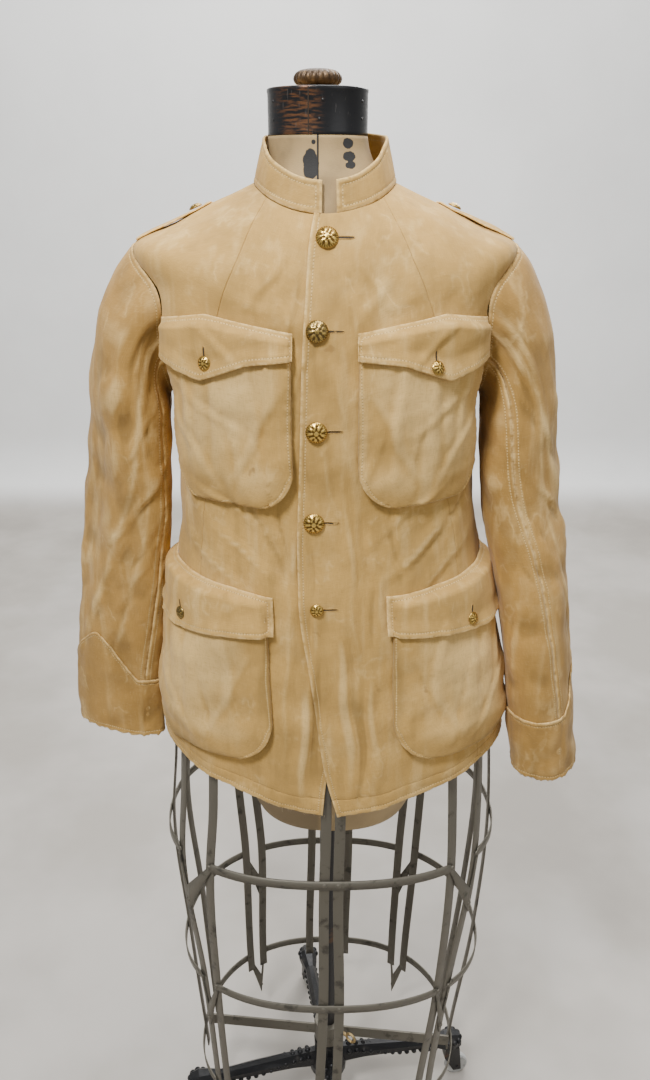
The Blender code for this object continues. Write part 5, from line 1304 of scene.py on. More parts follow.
def make_sleeves():
    """Two-piece sleeves with pointed cuffs laid over their ends."""
    for side, word in ((1, "left"), (-1, "right")):
        grid, place, detail, streak = sleeve_grid(side)
        middle = grid.mean(1, keepdims=True)
        turn = wrap(place - math.radians(102))
        order = np.argsort(turn)
        grid, detail, streak, turn = (grid[:, order], detail[:, order], streak[:, order],
                                      turn[order])
        upper = np.flatnonzero(np.abs(turn) <= math.radians(108))
        count = grid.shape[1]
        under = [c % count for c in range(upper[-1], upper[0] + count + 1)]
        for kind, columns in (("upper", upper), ("under", under)):
            node = "sleeve_%s_%s" % (kind, word)
            # Crease detail paints ridges pale (rub and painted highlight) and hollows dark
            # (painted shade)
            wall(node + "_cloth", grid[:, columns][::-1], middle[::-1], sleeve_cloth(),
                 [node], "lrbt", relief_rub_and_shade=detail[:, columns][::-1],
                 fade_and_highlight=streak[:, columns][::-1], ragged=0.9 * MM)
        make_cuff(side, word)


def make_cuff(side, word):
    """Pointed cuff laid over the sleeve's end, all the way round."""
    table = LEFT_SLEEVE if side > 0 else RIGHT_SLEEVE
    foot = table[-1, 0]
    place = np.linspace(0, 2 * math.pi, 96, endpoint=False)
    away = np.abs(wrap(place - math.radians(CUFF_PEAK_AT))) / math.radians(CUFF_PEAK_WIDTH)
    peak = np.clip(1 - np.sqrt(away ** 2 + 0.004), 0, 1)
    top = foot + CUFF_UNDER + (CUFF_PEAK - CUFF_UNDER) * peak
    rows = np.stack([sleeve_ring(table, side, foot + 0.0002 + (top - foot) * part, place)
                     for part in spread(CUFF_UNDER, 30)])
    out = grid_normals(rows, closed=True)
    middle = rows.mean(1, keepdims=True)
    if np.sum(out * (rows - middle)) < 0:
        out = -out
    degrees = np.degrees(place)[None, :] + (0 if side > 0 else 9)
    z = rows[..., 2] + (0 if side > 0 else 0.012)
    detail = crease_height(SLEEVE_CREASES, degrees, z, 360.0, 0.00095, 1.0)
    detail = detail + unevenness(degrees * 0.00095, z, 2.0 + side)
    # Pale streaks of faded cloth and painted highlight along the creases
    fade_and_highlight = sum(r[5] * np.exp(-(near_line(r[:4], degrees, z) / (r[4] * MM)) ** 2)
               for r in SLEEVE_STREAKS)
    rows = rows + out * (detail * crease_scale() + LIE + 0.0003)[..., None]
    wall("cuff_%s_cloth" % word, rows, middle, sleeve_cloth(), ["cuff_" + word],
         "bt", closed=True, relief_rub_and_shade=detail, fade_and_highlight=np.clip(fade_and_highlight, 0, 1) * 0.7,
         ragged=1.3 * MM)


# Buttons, buttonholes and loose threads

def make_button(name, node, point, out, radius, tarnish):
    """Domed button: height = rise (1 - r^2)^0.8 inside a rim, with a plain raised rosette
    and a ring of small beads."""
    out = out / np.linalg.norm(out)
    side_way = np.cross(out, (0.0, 0.0, 1.0))
    side_way /= np.linalg.norm(side_way)
    up_way = np.cross(side_way, out)
    turn = np.arange(64) * 2 * math.pi / 64
    share = np.array((0.0, 0.86, 0.97, 1.0, 0.99, 0.95, 0.90, 0.85, 0.79, 0.73, 0.67, 0.60,
                      0.53, 0.46, 0.39, 0.32, 0.25, 0.18, 0.11, 0.05, 0.0))
    rise = BUTTON_RISE * radius / LARGE_BUTTON
    dome = rise * (0.20 + 0.80 * (1 - share ** 2) ** 0.75)
    dome[:3] = (0.0, 0.0, rise * 0.06)
    grid_share, grid_turn = np.meshgrid(share, turn, indexing="ij")
    beads = np.cos(26 * grid_turn) * np.exp(-((grid_share - 0.88) / 0.05) ** 2)
    rays = np.cos(9 * grid_turn + 0.6) * np.exp(-((grid_share - 0.60) / 0.12) ** 2)
    rays = rays + np.cos(6 * grid_turn) * np.exp(-((grid_share - 0.36) / 0.09) ** 2)
    heart = np.exp(-(grid_share / 0.20) ** 2) - np.exp(-((grid_share - 0.29) / 0.06) ** 2)
    relief = radius * (0.022 * beads + 0.040 * rays + 0.030 * heart)
    relief[:4] = 0.0
    height = dome[:, None] + relief
    points = (point + radius * grid_share[..., None]
              * (np.cos(turn)[:, None] * side_way + np.sin(turn)[:, None] * up_way)
              + out * height[..., None])
    quads = grid_quads(len(share), 64, 0, True)
    if np.dot(np.cross(side_way, up_way), out) > 0:
        quads = quads[:, ::-1]
    more = np.stack([relief, np.full_like(relief, tarnish), 0 * relief], -1).reshape(-1, 3)
    add_mesh(name, points.reshape(-1, 3), quads, brass_finish(), "figure", [node],
             {"finish": more})


def make_buttonhole(name, arc, z, length, upright, rise_at):
    """Worked buttonhole: a raised ring of thread round its slot, a dark sheet of painted shadow.
    """
    turn = np.linspace(0, 2 * math.pi, 57)[:-1]
    ridge = np.linspace(0, math.pi, 7)
    long_half, short_half = length / 2, 1.5 * MM
    stretch = np.sign(np.cos(turn)) * (long_half - short_half) * (np.abs(np.cos(turn)) ** 0.3)
    rows = []
    for bend in ridge:
        reach = short_half * (0.45 + 0.55 * (1 + math.cos(bend)) / 2) + 0.3 * MM
        a = stretch + reach * np.cos(turn)
        b = reach * np.sin(turn)
        if upright:
            a, b = b, a
        lift = rise_at(arc + a, z + b) + CLOTH / 2 + 0.55 * MM * math.sin(bend) - 0.1 * MM
        rows.append(on_cloth(arc + a, z + b, lift))
    points = np.stack(rows)
    made = finish("thread", thread_finish)
    add_mesh(name, points.reshape(-1, 3), grid_quads(len(rows), 56, 0, True), made,
             "figure", [])
    slot_rows = []
    for part in (1.0, 0.5, 0.02):
        a = stretch * part + 0.75 * MM * np.cos(turn) * part
        b = 0.75 * MM * np.sin(turn) * part
        if upright:
            a, b = b, a
        slot_rows.append(on_cloth(arc + a, z + b,
                                  rise_at(arc + a, z + b) + CLOTH / 2 + 0.12 * MM))
    slot_painted_shadow = slot_finish()
    add_mesh(name + "_slot", np.stack(slot_rows).reshape(-1, 3),
             grid_quads(3, 56, 0, True), slot_painted_shadow, "figure", [])


def plain_finish(name, colour, rough=0.9, metal=0.0):
    """One even colour."""
    made = Finish(name)
    made.set("Base Color", (*colour, 1.0))
    made.set("Roughness", rough)
    made.set("Metallic", metal)
    return made.material


def slot_finish():
    """Dark inside of a buttonhole or a joint; in a buttonhole it is painted shadow."""
    return finish("slot_shadow", lambda: plain_finish("slot_shadow", (0.035, 0.022, 0.012)))


def thread_finish():
    """Sewing thread a little darker than the cloth, with a fine twist."""
    coat = bpy.context.scene.coat
    made = Finish("thread")
    twist = made.noise(made.place(), 1600.0, 2.0)
    made.set("Base Color", made.mix(tuple(0.55 * c for c in coat.cloth),
                                    tuple(0.95 * c for c in coat.cloth),
                                    twist.step(0.35, 0.65)))
    made.set("Roughness", 0.9)
    made.bump(twist, 0.6, 0.0006)
    return made.material


def make_buttons():
    """Five down the front, one on each pocket flap and one on each shoulder strap."""
    def flat(arc, z):
        return np.zeros(np.broadcast(arc, z).shape)

    for number, (arc, z) in enumerate(FRONT_BUTTONS, 1):
        radius = SMALL_BUTTON if number == 5 else LARGE_BUTTON
        angle, level = spot(np.array([arc]), np.array([z]))
        seat = np.array([CLOTH / 2 + 0.5 * MM])
        point = on_cloth(np.array([arc]), np.array([z]), seat)[0]
        node = "button_front_%d" % number
        make_button(node + "_brass", node, point, body_normal(angle, level)[0], radius,
                    0.75 if number == 2 else 0.12)
        make_buttonhole("buttonhole_front_%d" % number, arc + radius + 0.0035, z, 0.026,
                        False, flat)
    for kind, flap, pocket in (("chest", CHEST_FLAP, CHEST_POCKET), ("hip", HIP_FLAP, HIP_POCKET)):
        places = FLAP_BUTTONS[kind]
        for side, word, arc, z in ((1, "left", *places[:2]), (-1, "right", *places[2:])):
            def near(da, dz):
                a, h = np.array([arc + da]), np.array([z + dz])
                return on_cloth(side * a, h, flap_rise(flap, pocket, a, h)
                                + CLOTH / 2 + 0.5 * MM)[0]

            out = np.cross(near(0.004, 0) - near(-0.004, 0), near(0, 0.004) - near(0, -0.004))
            out *= np.sign(-out[1])
            node = "button_%s_%s" % (kind, word)
            make_button(node + "_brass", node, near(0.0, 0.0), out, SMALL_BUTTON,
                        0.9 if node == "button_hip_right" else 0.15)
            make_buttonhole("buttonhole_%s_%s" % (kind, word), side * arc, z + 0.0095, 0.016,
                            True, lambda a, h, f=flap, p=pocket: flap_rise(f, p, a, h))
    for side, word in ((1, "left"), (-1, "right")):
        level = np.array([STRAP_BUTTON_LEVEL])
        angle = np.array([0.0 if side > 0 else math.pi])
        point = on_body(angle, level, LIE + CLOTH / 2 + 2.2 * MM)[0]
        node = "button_strap_" + word
        make_button(node + "_brass", node, point, body_normal(angle, level)[0],
                    SMALL_BUTTON, 0.2)


def make_threads():
    """Loose threads at the cuff ends and the hem, each a thin three-sided strand."""
    draw = np.random.default_rng(7)
    points, quads = [], []

    def strand(start, way, length, bend):
        steps = np.linspace(0, 1, 6)[:, None]
        path = start + way * length * steps + bend * length * steps ** 2
        turn = np.arange(3) * 2 * math.pi / 3
        thin = 0.16 * MM * (1 - 0.5 * steps)
        loop = [path + np.array([math.cos(t), math.sin(t), 0.3 * math.cos(t)]) * thin
                for t in turn]
        grid = np.stack(loop, 1)
        quads.append(grid_quads(6, 3, sum(len(p) for p in points), True))
        points.append(grid.reshape(-1, 3))

    for side in (1, -1):
        table = LEFT_SLEEVE if side > 0 else RIGHT_SLEEVE
        foot = table[-1, 0]
        for _ in range(46):
            place = np.array([draw.uniform(0, 2 * math.pi)])
            start = sleeve_ring(table, side, np.array([foot + 0.0004]), place)[0]
            way = np.array([draw.normal(0, 0.35), draw.normal(0, 0.35), -1.0])
            strand(start, way / np.linalg.norm(way), draw.uniform(1.5, 6.0) * MM,
                   draw.normal(0, 0.5, 3))
    for _ in range(70):
        angle = np.array([draw.uniform(0, 2 * math.pi)])
        start = on_body(angle, np.array([0.0005]))[0]
        way = np.array([draw.normal(0, 0.4), draw.normal(0, 0.4), -1.0])
        strand(start, way / np.linalg.norm(way), draw.uniform(1.0, 4.0) * MM,
               draw.normal(0, 0.5, 3))
    add_mesh("loose_threads", np.concatenate(points), np.concatenate(quads),
             finish("pale_thread", lambda: plain_finish("pale_thread", (0.72, 0.58, 0.36))),
             "figure", [])


# Dress form

def form_point(angle, level):
    """The form's own surface: the coat's body drawn in."""
    inset = smooth_rows(FORM_INSET[:, 0], FORM_INSET[:, 1], level)
    return body_base(angle, level) - body_normal(angle, level) * inset[..., None]


def make_form():
    """Smooth body of the form with its neck, closed at the foot round the post."""
    sides = 128
    turn = np.arange(sides) * 2 * math.pi / sides
    knots = np.array([row[0] for row in FORM_FOOT[::-1]] + [0.820])
    table = np.array([row[1:] for row in FORM_FOOT[::-1]] + [(0.2085, 0.1345, 0.1440)])
    rows = [np.stack([HUB_X + 0.0135 * np.cos(turn), HUB_Y - 0.0135 * np.sin(turn),
                      np.full(sides, 0.650)], -1)]
    for z in np.linspace(0.650, 0.800, 22):
        wide, front, back = (smooth_rows(knots, table[:, c], np.array([z]))[0]
                             for c in range(3))
        depth = np.where(np.sin(turn) > 0, front, back)
        radius = oval_radius(turn, wide, depth, 2.3)
        rows.append(np.stack([0.010 + radius * np.cos(turn), -radius * np.sin(turn),
                              np.full(sides, z)], -1))
    for level in np.linspace(0.10, 1.0, 70):
        point = form_point(turn, np.full(sides, level))
        side = np.clip(ease(UNDERARM, UNDERARM + 0.05, level)
                       * ease(SHOULDER + 0.01, SHOULDER - 0.02, level), 0, 1)
        limit = FORM_TRUNK_HALF * side + FORM_SHOULDER_HALF * (1 - side)
        point[:, 0] = np.clip(point[:, 0], -limit, limit)
        rows.append(point)
    knots = np.array([row[0] for row in FORM_NECK])
    table = np.array([row[1:] for row in FORM_NECK])
    for z in np.linspace(FORM_NECK[0][0], FORM_NECK[-1][0], 14):
        radius, x, y = (smooth_rows(knots, table[:, c], np.array([z]))[0] for c in range(3))
        rows.append(np.stack([x + radius * np.cos(turn), y - radius * np.sin(turn),
                              np.full(sides, z)], -1))
    inner = BAND_RADIUS - BAND_WALL - 0.0006
    for radius, z in ((inner, BAND_LOW), (inner, BAND_TOP - 0.0025),
                      (inner - 0.0008, BAND_TOP - 0.0020)):
        rows.append(np.stack([NECK_X + radius * np.cos(turn), NECK_Y - radius * np.sin(turn),
                              np.full(sides, z)], -1))
    lathe("form_canvas_body", rows, canvas_finish(), "figure", ["form_body"])


def turned(profile, sides, centre):
    """Rings of points for a turned shape: profile rows are radius and height."""
    turn = np.arange(sides) * 2 * math.pi / sides
    return [np.stack([centre[0] + radius * np.cos(turn), centre[1] + radius * np.sin(turn),
                      np.full(sides, height)], -1) for radius, height in profile]


def make_neck():
    """Japanned band with rolled edges, its rivets, and the ribbed knob on top."""
    r, w = BAND_RADIUS, BAND_WALL
    profile = [(r - w, BAND_LOW), (r - 0.0003, BAND_LOW), (r + 0.0001, BAND_LOW + 0.0004)]
    profile += [(r - 0.0003, BAND_LOW + 0.0035), (r - 0.0003, BAND_TOP - 0.0045),
                (r + 0.0003, BAND_TOP - 0.0030), (r + 0.0003, BAND_TOP - 0.0010),
                (r - 0.0004, BAND_TOP), (r - w + 0.0004, BAND_TOP), (r - w, BAND_TOP - 0.001)]
    rows = turned(profile, 144, (NECK_X, NECK_Y))
    rows.append(rows[0])
    band = lathe("neck_band_metal", rows, band_finish(), "figure", ["neck_band"],
                 capped=False)
    points, quads = [], []
    for angle_deg, z in ((-150, 1.507), (-150, 1.524), (-88, 1.507), (-84, 1.524),
                         (-30, 1.508), (-30, 1.524), (40, 1.515), (140, 1.515)):
        angle = math.radians(angle_deg)
        way = np.array((math.cos(angle), math.sin(angle), 0.0))
        centre = np.array((NECK_X, NECK_Y, z)) + way * (BAND_RADIUS - 0.0004)
        add_dome(points, quads, centre, way, 0.0016, 0.0008)
    add_mesh("neck_band_rivets", np.concatenate(points), np.concatenate(quads),
             black_metal(), "figure", [])
    seam = []
    for angle_deg in (-100.5, -99.3):
        angle = math.radians(angle_deg)
        way = np.array((math.cos(angle), math.sin(angle), 0.0))
        seam.append([np.array((NECK_X, NECK_Y, z)) + way * (BAND_RADIUS + 0.0004)
                     for z in (BAND_LOW + 0.0008, BAND_TOP - 0.0008)])
    add_mesh("neck_band_joint", np.array(seam).reshape(-1, 3), [(0, 1, 3, 2)],
             slot_finish(),
             "figure", [])
    sides = KNOB_LOBES * 8
    turn = np.arange(sides) * 2 * math.pi / sides
    lobes = np.abs(np.cos(KNOB_LOBES * turn / 2)) ** 0.7
    outline = [(KNOB_SHANK, BAND_TOP - 0.0012, 0), (KNOB_SHANK, KNOB_LOW, 0)]
    outline += [(wide, KNOB_LOW + rise, lobed) for wide, rise, lobed in KNOB_PROFILE]
    outline.append((0.0070, KNOB_TOP - 0.0008, 0.0))
    rows = []
    for wide, z, lobed in outline:
        radius = wide * (1 - 0.07 * lobed * (1 - lobes))
        rows.append(np.stack([NECK_X + radius * np.cos(turn), NECK_Y + radius * np.sin(turn),
                              np.full(sides, z)], -1))
    made = finish("knob_bronze", lambda: metal_finish(
        "knob_bronze", (0.060, 0.034, 0.015), (0.165, 0.100, 0.045), 0.42, 0.55, 0.48, 0.66,
        90.0))
    lathe("neck_knob_metal", rows, made, "neck_knob", ["neck_knob"])


def band_finish():
    """Black japan with brown streaks where it is worn through in front."""
    def make():
        made = Finish("neck_band_japan")
        x, y, z = made.split(made.place())
        x = x + float(PART_MIDDLE[0])
        streak = made.noise(made.join(x * 60.0, y * 60.0, z * 420.0), 1.0, 3.0)
        scratch = made.noise(made.join(x * 500.0, y * 500.0, z * 60.0), 1.0, 3.0)
        front = x.step(-0.058, -0.030) * x.step(0.002, -0.014)
        base = made.mix((0.016, 0.016, 0.017), (0.150, 0.066, 0.028),
                        front * streak.step(0.46, 0.66))
        base = made.mix(base, (0.13, 0.12, 0.11), scratch.step(0.64, 0.74) * 0.6)
        made.set("Base Color", base)
        made.set("Metallic", 0.45)
        made.set("Roughness", streak * 0.25 + 0.20)
        return made.material
    return finish("neck_band_japan", make)


def add_dome(points, quads, centre, out, radius, rise):
    """Rivet head: a small dome added to running lists of points and faces."""
    out = np.asarray(out, float) / np.linalg.norm(out)
    helper = np.array((0.0, 0.0, 1.0)) if abs(out[2]) < 0.9 else np.array((1.0, 0.0, 0.0))
    side = np.cross(out, helper)
    side /= np.linalg.norm(side)
    up = np.cross(side, out)
    turn = np.arange(14) * 2 * math.pi / 14
    circle = np.cos(turn)[:, None] * side + np.sin(turn)[:, None] * up
    rows = [centre + circle * radius * wide + out * rise * high for wide, high in
            ((1.0, -0.6), (1.0, 0.1), (0.85, 0.55), (0.50, 0.88), (0.02, 1.0))]
    quads.append(grid_quads(5, 14, sum(len(p) for p in points), True)[:, ::-1])
    points.append(np.stack(rows).reshape(-1, 3))


# Cage skirt

def cage_oval(angle, z):
    """Middle of the strap iron at an angle and a height, and its outward direction."""
    angle, z = np.broadcast_arrays(np.asarray(angle, float), np.asarray(z, float))

    def column(index):
        return smooth_rows(CAGE_OVALS[:, 0], CAGE_OVALS[:, index], z)

    def place(turn):
        depth = np.where(np.sin(turn) > 0, column(2), column(3))
        radius = oval_radius(turn, column(1), depth, 2.35)
        return np.stack([column(4) + radius * np.cos(turn), -radius * np.sin(turn), z], -1)

    step = 1e-3
    along = place(angle + step) - place(angle - step)
    out = np.stack([-along[..., 1], along[..., 0], np.zeros_like(z)], -1)
    out /= np.linalg.norm(out, axis=-1, keepdims=True)
    return place(angle), out, along / (2 * step)


def strap_section(middle, side, out, wide, thick):
    """Rounded oblong section of flat iron round each point of a path."""
    w, t, r = wide / 2, thick / 2, 0.0005
    outline = ((-w, -t + r), (-w, t - r), (-w + r, t), (w - r, t), (w, t - r), (w, -t + r),
               (w - r, -t), (-w + r, -t))
    return np.stack([middle + side * a + out * b for a, b in outline], 1)


def strap_angle(row, z):
    """Angle of a strap at a height, from its angles at HEIGHT_COLUMNS."""
    knots = np.array(HEIGHT_COLUMNS[::-1])
    return np.radians(smooth_rows(knots, np.array(row[::-1], float), z))


def seat_rows(angle):
    """Where a strap's top lies against the form."""
    seats = []
    for level in (0.100, 0.124):
        base = form_point(angle, np.full(angle.shape, level))
        out = body_normal(angle, np.full(angle.shape, level))
        seats.append((base + out * (STRAP_THICK / 2 + 0.0008), out))
    return seats


def make_cage_straps():
    """Pairs of upright straps with rounded edges, the plate that joins each pair to the
    form, and its rivets."""
    for name, pair in STRUT_PAIRS.items():
        points, quads = [], []
        for row in pair:
            z = np.linspace(STRUT_FOOT, 0.76, 46)
            middle, out, along = cage_oval(strap_angle(row, z), z)
            side = along / np.linalg.norm(along, axis=-1, keepdims=True)
            top = np.array([strap_angle(row, np.array([STRUT_TOP]))[0]])
            for point, normal in seat_rows(top):
                middle = np.concatenate([middle, point])
                out = np.concatenate([out, normal])
                side = np.concatenate([side, side[-1:]])
            section = strap_section(middle, side, out, STRAP_WIDE, STRAP_THICK)
            ends = [section[:1].mean(1, keepdims=True) + 0 * section[:1], section,
                    section[-1:].mean(1, keepdims=True) + 0 * section[-1:]]
            section = np.concatenate(ends)
            start = sum(len(p) for p in points)
            quads.append(grid_quads(len(section), 8, start, True))
            points.append(section.reshape(-1, 3))
            add_dome(points, quads, middle[-1] - np.array((0, 0, 0.006))
                     + out[-1] * STRAP_THICK / 2, out[-1], 0.0036, 0.0016)
        low, high = sorted(float(strap_angle(row, np.array([STRUT_TOP]))[0]) for row in pair)
        turn = np.linspace(low, high, 12)
        (first, first_out), (second, second_out) = seat_rows(turn)
        plate = np.stack([first + first_out * 0.001, second + second_out * 0.001,
                          second - second_out * 0.001, first - first_out * 0.001], 1)
        quads.append(grid_quads(12, 4, sum(len(p) for p in points), True))
        points.append(plate.reshape(-1, 3))
        add_mesh(name + "_iron", np.concatenate(points), np.concatenate(quads),
                 strap_metal(), "figure", [name])


def ring_corners(z):
    """Angles of the steep links at a ring's height: first strap, lowest point, last."""
    corners = []
    for key in ("cage_straps_front_left", "cage_straps_front_right",
                "cage_straps_back_left", "cage_straps_back_right"):
        at = [math.degrees(strap_angle(row, np.array([z]))[0]) for row in STRUT_PAIRS[key]]
        low, high = min(at) - 1.0, max(at) + 1.0
        share = 0.25 if "left" in key else 0.75
        corners.append((low, low + share * (high - low), high))
    return corners


def make_cage_rings():
    """Flat hoops outside the straps; between paired straps each hangs as a steep link,
    and rivets hold it where it crosses a strap."""
    for word, z in RING_HEIGHTS.items():
        corners = ring_corners(z)
        marks = sorted(angle for corner in corners for angle in corner)
        turn = np.unique(np.concatenate([np.arange(-70.0, 290.0, 2.0), marks]))
        keep = ~np.array([any(0 < abs(a - m) < 0.6 for m in marks) for a in turn])
        turn = turn[keep]
        dip = np.zeros_like(turn)
        for first, bottom, last in corners:
            inside = (turn > first) & (turn < last)
            dip = np.where(inside, np.interp(turn, (first, bottom, last), (0, 1, 0)), dip)
        low = z - RING_TALL / 2 - LINK_DROP * dip
        top = z + RING_TALL / 2 - (LINK_DROP - 0.030) * dip
        base = STRAP_THICK / 2 + 0.0008
        loops = []
        for edge, lift in ((low, base), (top, base), (top, base + RING_THICK),
                           (low, base + RING_THICK)):
            point, out, _ = cage_oval(np.radians(turn), edge)
            loops.append(point + out * lift)
        grid = np.stack(loops, 1)
        grid = np.concatenate([grid, grid[:1]])
        points, quads = [grid.reshape(-1, 3)], [grid_quads(len(grid), 4, 0, True)]
        for pair in STRUT_PAIRS.values():
            for row in pair:
                angle = strap_angle(row, np.array([z]))
                point, out, _ = cage_oval(angle, np.array([z]))
                add_dome(points, quads, point[0] + out[0] * (base + RING_THICK), out[0],
                         0.0034, 0.0015)
        for first, bottom, last in corners:
            height = z - LINK_DROP + 0.010
            point, out, _ = cage_oval(np.radians(np.array([bottom])), np.array([height]))
            add_dome(points, quads, point[0] + out[0] * (base + RING_THICK), out[0],
                     0.0034, 0.0015)
        add_mesh("cage_ring_%s_iron" % word, np.concatenate(points), np.concatenate(quads),
                 strap_metal(), "figure", ["cage_ring_" + word])


# Stand

def make_stand():
    """Finishes for the stand's own solids, with cast beads along the legs and round their ends."""
    iron = finish("base_iron", lambda: metal_finish(
        "base_iron", (0.013, 0.013, 0.014), (0.050, 0.046, 0.042), 0.34, 0.45, 0.56, 0.74,
        55.0, 0.0015))
    wheel = finish("wheel_compound", lambda: metal_finish(
        "wheel_compound", (0.42, 0.42, 0.40), (0.22, 0.21, 0.20), 0.55, 0.0, 0.50, 0.70,
        80.0))
    brass = finish("screw_brass", lambda: metal_finish(
        "screw_brass", (0.42, 0.30, 0.14), (0.16, 0.12, 0.07), 0.38, 0.85))
    given = {"stand_base": iron, "stand_post": black_metal(), "cross_bar": strap_metal(),
             "eye_screw": brass}
    for number in range(1, LEG_COUNT + 1):
        given["caster_fork_%d" % number] = black_metal()
        given["caster_wheel_%d" % number] = wheel
    for node, made in given.items():
        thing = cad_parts[node]
        thing.data.materials.clear()
        thing.data.materials.append(made)
    points, quads = [], []
    for number in range(LEG_COUNT):
        angle = math.radians(LEG_TURN + 90.0 * number)
        way = np.array((math.cos(angle), math.sin(angle), 0.0))
        across = np.array((-math.sin(angle), math.cos(angle), 0.0))
        for share in np.linspace(BEAD_FROM, BEAD_TO, BEAD_COUNT):
            reach = share * LEG_REACH
            z = 0.112 - 0.024 * ease(0.03, 0.14, reach) - 0.004 * ease(0.12, 0.20, reach)
            centre = np.array((HUB_X, HUB_Y, z - 0.0060)) + way * reach
            add_dome(points, quads, centre, (0, 0, 1), 0.0052, 0.0075)
            for sign in (-1, 1):
                add_dome(points, quads, centre + across * 0.0085 * sign
                         - np.array((0, 0, 0.004)), across * sign + np.array((0, 0, 0.8)),
                         0.0042, 0.0050)
        knuckle = np.array((HUB_X, HUB_Y, 0.080)) + way * LEG_REACH
        for turn in range(10):
            t = 2 * math.pi * turn / 10
            side = np.array((math.cos(t), math.sin(t), 0.35))
            add_dome(points, quads, knuckle + side * 0.0150, side, 0.0050, 0.0042)
    add_mesh("stand_beads", np.concatenate(points), np.concatenate(quads), iron, "base", [])


# Stage

def make_stage():
    """Pale floor and wall, soft lights and the camera."""
    stage = bpy.context.scene.stage
    far, wide, tall, bend = stage.wall_distance, 5.0, 4.5, 0.30
    profile = [(-4.0, 0.0), (far - bend, 0.0)]
    for t in np.linspace(0, math.pi / 2, 10)[1:]:
        profile.append((far - bend + bend * math.sin(t), bend - bend * math.cos(t)))
    profile.append((far, tall))
    points = np.array([[(x, y, z) for y, z in profile] for x in (-wide, wide)])
    quads = grid_quads(2, len(profile))
    mesh = bpy.data.meshes.new("backdrop")
    mesh.from_pydata([tuple(p) for p in points.reshape(-1, 3)], [], quads.tolist())
    mesh.shade_smooth()
    mesh.materials.append(stage_finish())
    backdrop = bpy.data.objects.new("backdrop", mesh)
    bpy.context.scene.collection.objects.link(backdrop)
    wall_lamp = ("wall", (0.0, far - 1.3, 3.6), (0.0, far, 0.8), 2.4, 95.0)
    for name, place, goal, size, power in LAMPS + (wall_lamp,):
        data = bpy.data.lights.new(name, "AREA")
        data.shape = "DISK"
        data.size = size
        data.energy = power * stage.brightness
        lamp = bpy.data.objects.new(name, data)
        lamp.location = place
        aim = np.array(goal) - np.array(place)
        flat = math.hypot(aim[0], aim[1])
        lamp.rotation_euler = (math.atan2(flat, -aim[2]), 0.0,
                               math.atan2(aim[1], aim[0]) - math.pi / 2)
        bpy.context.scene.collection.objects.link(lamp)
    world = bpy.context.scene.world or bpy.data.worlds.new("studio")
    bpy.context.scene.world = world
    world.use_nodes = True
    sky = world.node_tree.nodes["Background"]
    sky.inputs["Color"].default_value = WORLD_COLOUR
    sky.inputs["Strength"].default_value = WORLD_STRENGTH
    view = bpy.data.cameras.new("camera")
    view.lens = CAMERA_LENS
    view.sensor_width = 36.0
    view.dof.use_dof = False
    camera = bpy.data.objects.new("camera", view)
    camera.location = np.array(CAMERA_PLACE) - PART_MIDDLE
    camera.rotation_euler = (math.radians(CAMERA_PITCH), 0.0, 0.0)
    bpy.context.scene.collection.objects.link(camera)
    bpy.context.scene.camera = camera


def stage_finish():
    """Pale wall over a greyer floor, both a little cloudy."""
    made = Finish("stage_pale")
    place = made.place()
    _, _, z = made.split(place)
    cloud = made.noise(place, 2.2, 4.0)
    floor_tone = made.mix((0.38, 0.35, 0.31), (0.48, 0.45, 0.41), cloud.step(0.35, 0.65))
    wall_tone = made.mix((0.86, 0.86, 0.84), (0.91, 0.91, 0.89), cloud.step(0.35, 0.65))
    made.set("Base Color", made.mix(floor_tone, wall_tone, z.step(0.0, 0.10)))
    made.set("Roughness", 0.85)
    return made.material


class BuildOperator:
    """Shared parts of the operators."""
    bl_options = {"REGISTER", "UNDO"}
    makers = ()

    def execute(self, context):
        for maker in self.makers:
            maker()
        return {"FINISHED"}


class COAT_OT_body(BuildOperator, bpy.types.Operator):
    """Fronts, side fronts and backs"""
    bl_idname, bl_label = "coat.body", "Body panels"
    makers = (make_body,)


class COAT_OT_pockets(BuildOperator, bpy.types.Operator):
    """Pockets and their flaps"""
    bl_idname, bl_label = "coat.pockets", "Pockets"
    makers = (make_pockets,)


class COAT_OT_collar(BuildOperator, bpy.types.Operator):
    """Collar and shoulder straps"""
    bl_idname, bl_label = "coat.collar", "Collar and straps"
    makers = (make_collar, make_straps)


class COAT_OT_sleeves(BuildOperator, bpy.types.Operator):
    """Sleeves and cuffs"""
    bl_idname, bl_label = "coat.sleeves", "Sleeves"
    makers = (make_sleeves,)


class COAT_OT_buttons(BuildOperator, bpy.types.Operator):
    """Buttons, buttonholes and loose threads"""
    bl_idname, bl_label = "coat.buttons", "Buttons and threads"
    makers = (make_buttons, make_threads)


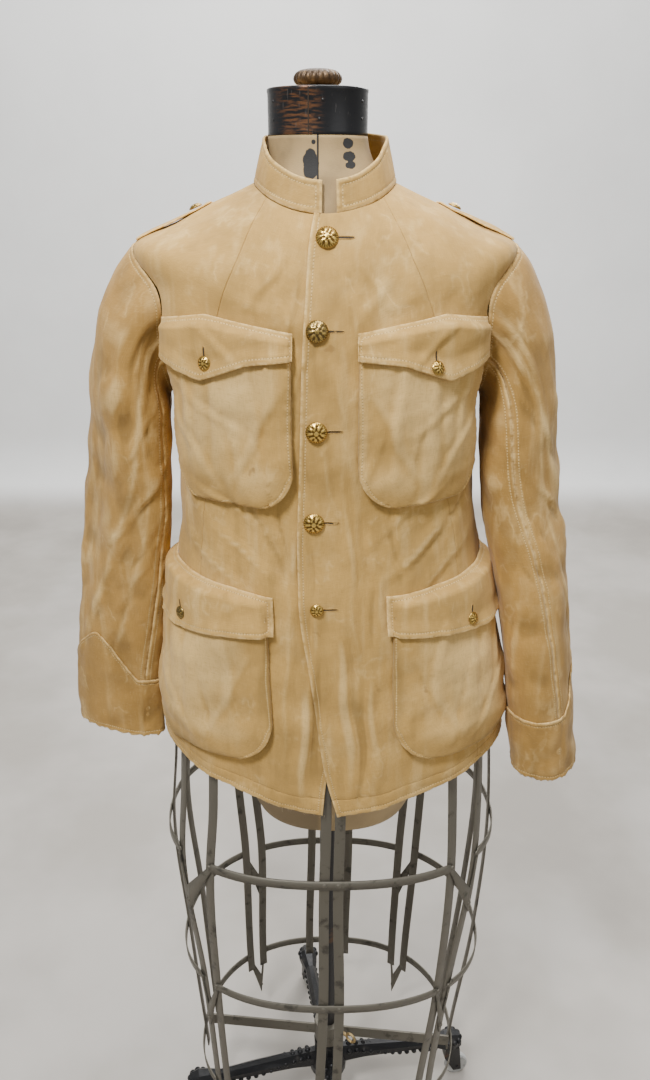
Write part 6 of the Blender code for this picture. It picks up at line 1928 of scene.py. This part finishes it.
class COAT_OT_form(BuildOperator, bpy.types.Operator):
    """Dress form with its neck band and knob"""
    bl_idname, bl_label = "coat.form", "Dress form"
    makers = (make_form, make_neck)


class COAT_OT_cage(BuildOperator, bpy.types.Operator):
    """Strap-iron cage skirt"""
    bl_idname, bl_label = "coat.cage", "Cage"
    makers = (make_cage_straps, make_cage_rings)


class COAT_OT_stand(BuildOperator, bpy.types.Operator):
    """Post, base, bar and casters"""
    bl_idname, bl_label = "coat.stand", "Stand"
    makers = (make_stand,)


class COAT_OT_stage(BuildOperator, bpy.types.Operator):
    """Floor, wall, lights and camera"""
    bl_idname, bl_label = "coat.stage", "Stage"
    makers = (make_stage,)


OPERATORS = (COAT_OT_stage, COAT_OT_body, COAT_OT_pockets, COAT_OT_collar, COAT_OT_sleeves,
             COAT_OT_buttons, COAT_OT_form, COAT_OT_cage, COAT_OT_stand)


class COAT_PT_panel(bpy.types.Panel):
    """Panel in the 3D view's sidebar"""
    bl_label = "Uniform coat"
    bl_space_type = "VIEW_3D"
    bl_region_type = "UI"
    bl_category = "Coat"

    def draw(self, context):
        for group in (context.scene.coat, context.scene.stand, context.scene.stage):
            for key in type(group).__annotations__:
                self.layout.prop(group, key)
        for operator in OPERATORS:
            self.layout.operator(operator.bl_idname)


GROUPS = {"coat": CoatSettings, "stand": StandSettings, "stage": StageSettings}


def register():
    """Add the settings, the operators and the panel."""
    for kind in tuple(GROUPS.values()) + OPERATORS + (COAT_PT_panel,):
        bpy.utils.register_class(kind)
    for name, group in GROUPS.items():
        setattr(bpy.types.Scene, name, bpy.props.PointerProperty(type=group))


def unregister():
    """Take the settings, the operators and the panel away again."""
    for name in GROUPS:
        delattr(bpy.types.Scene, name)
    for kind in (COAT_PT_panel,) + OPERATORS[::-1] + tuple(GROUPS.values()):
        bpy.utils.unregister_class(kind)


def main():
    """Build everything in order."""
    register()
    for operator in OPERATORS:
        group, name = operator.bl_idname.split(".")
        getattr(getattr(bpy.ops, group), name)()


if __name__ == "__main__":
    main()
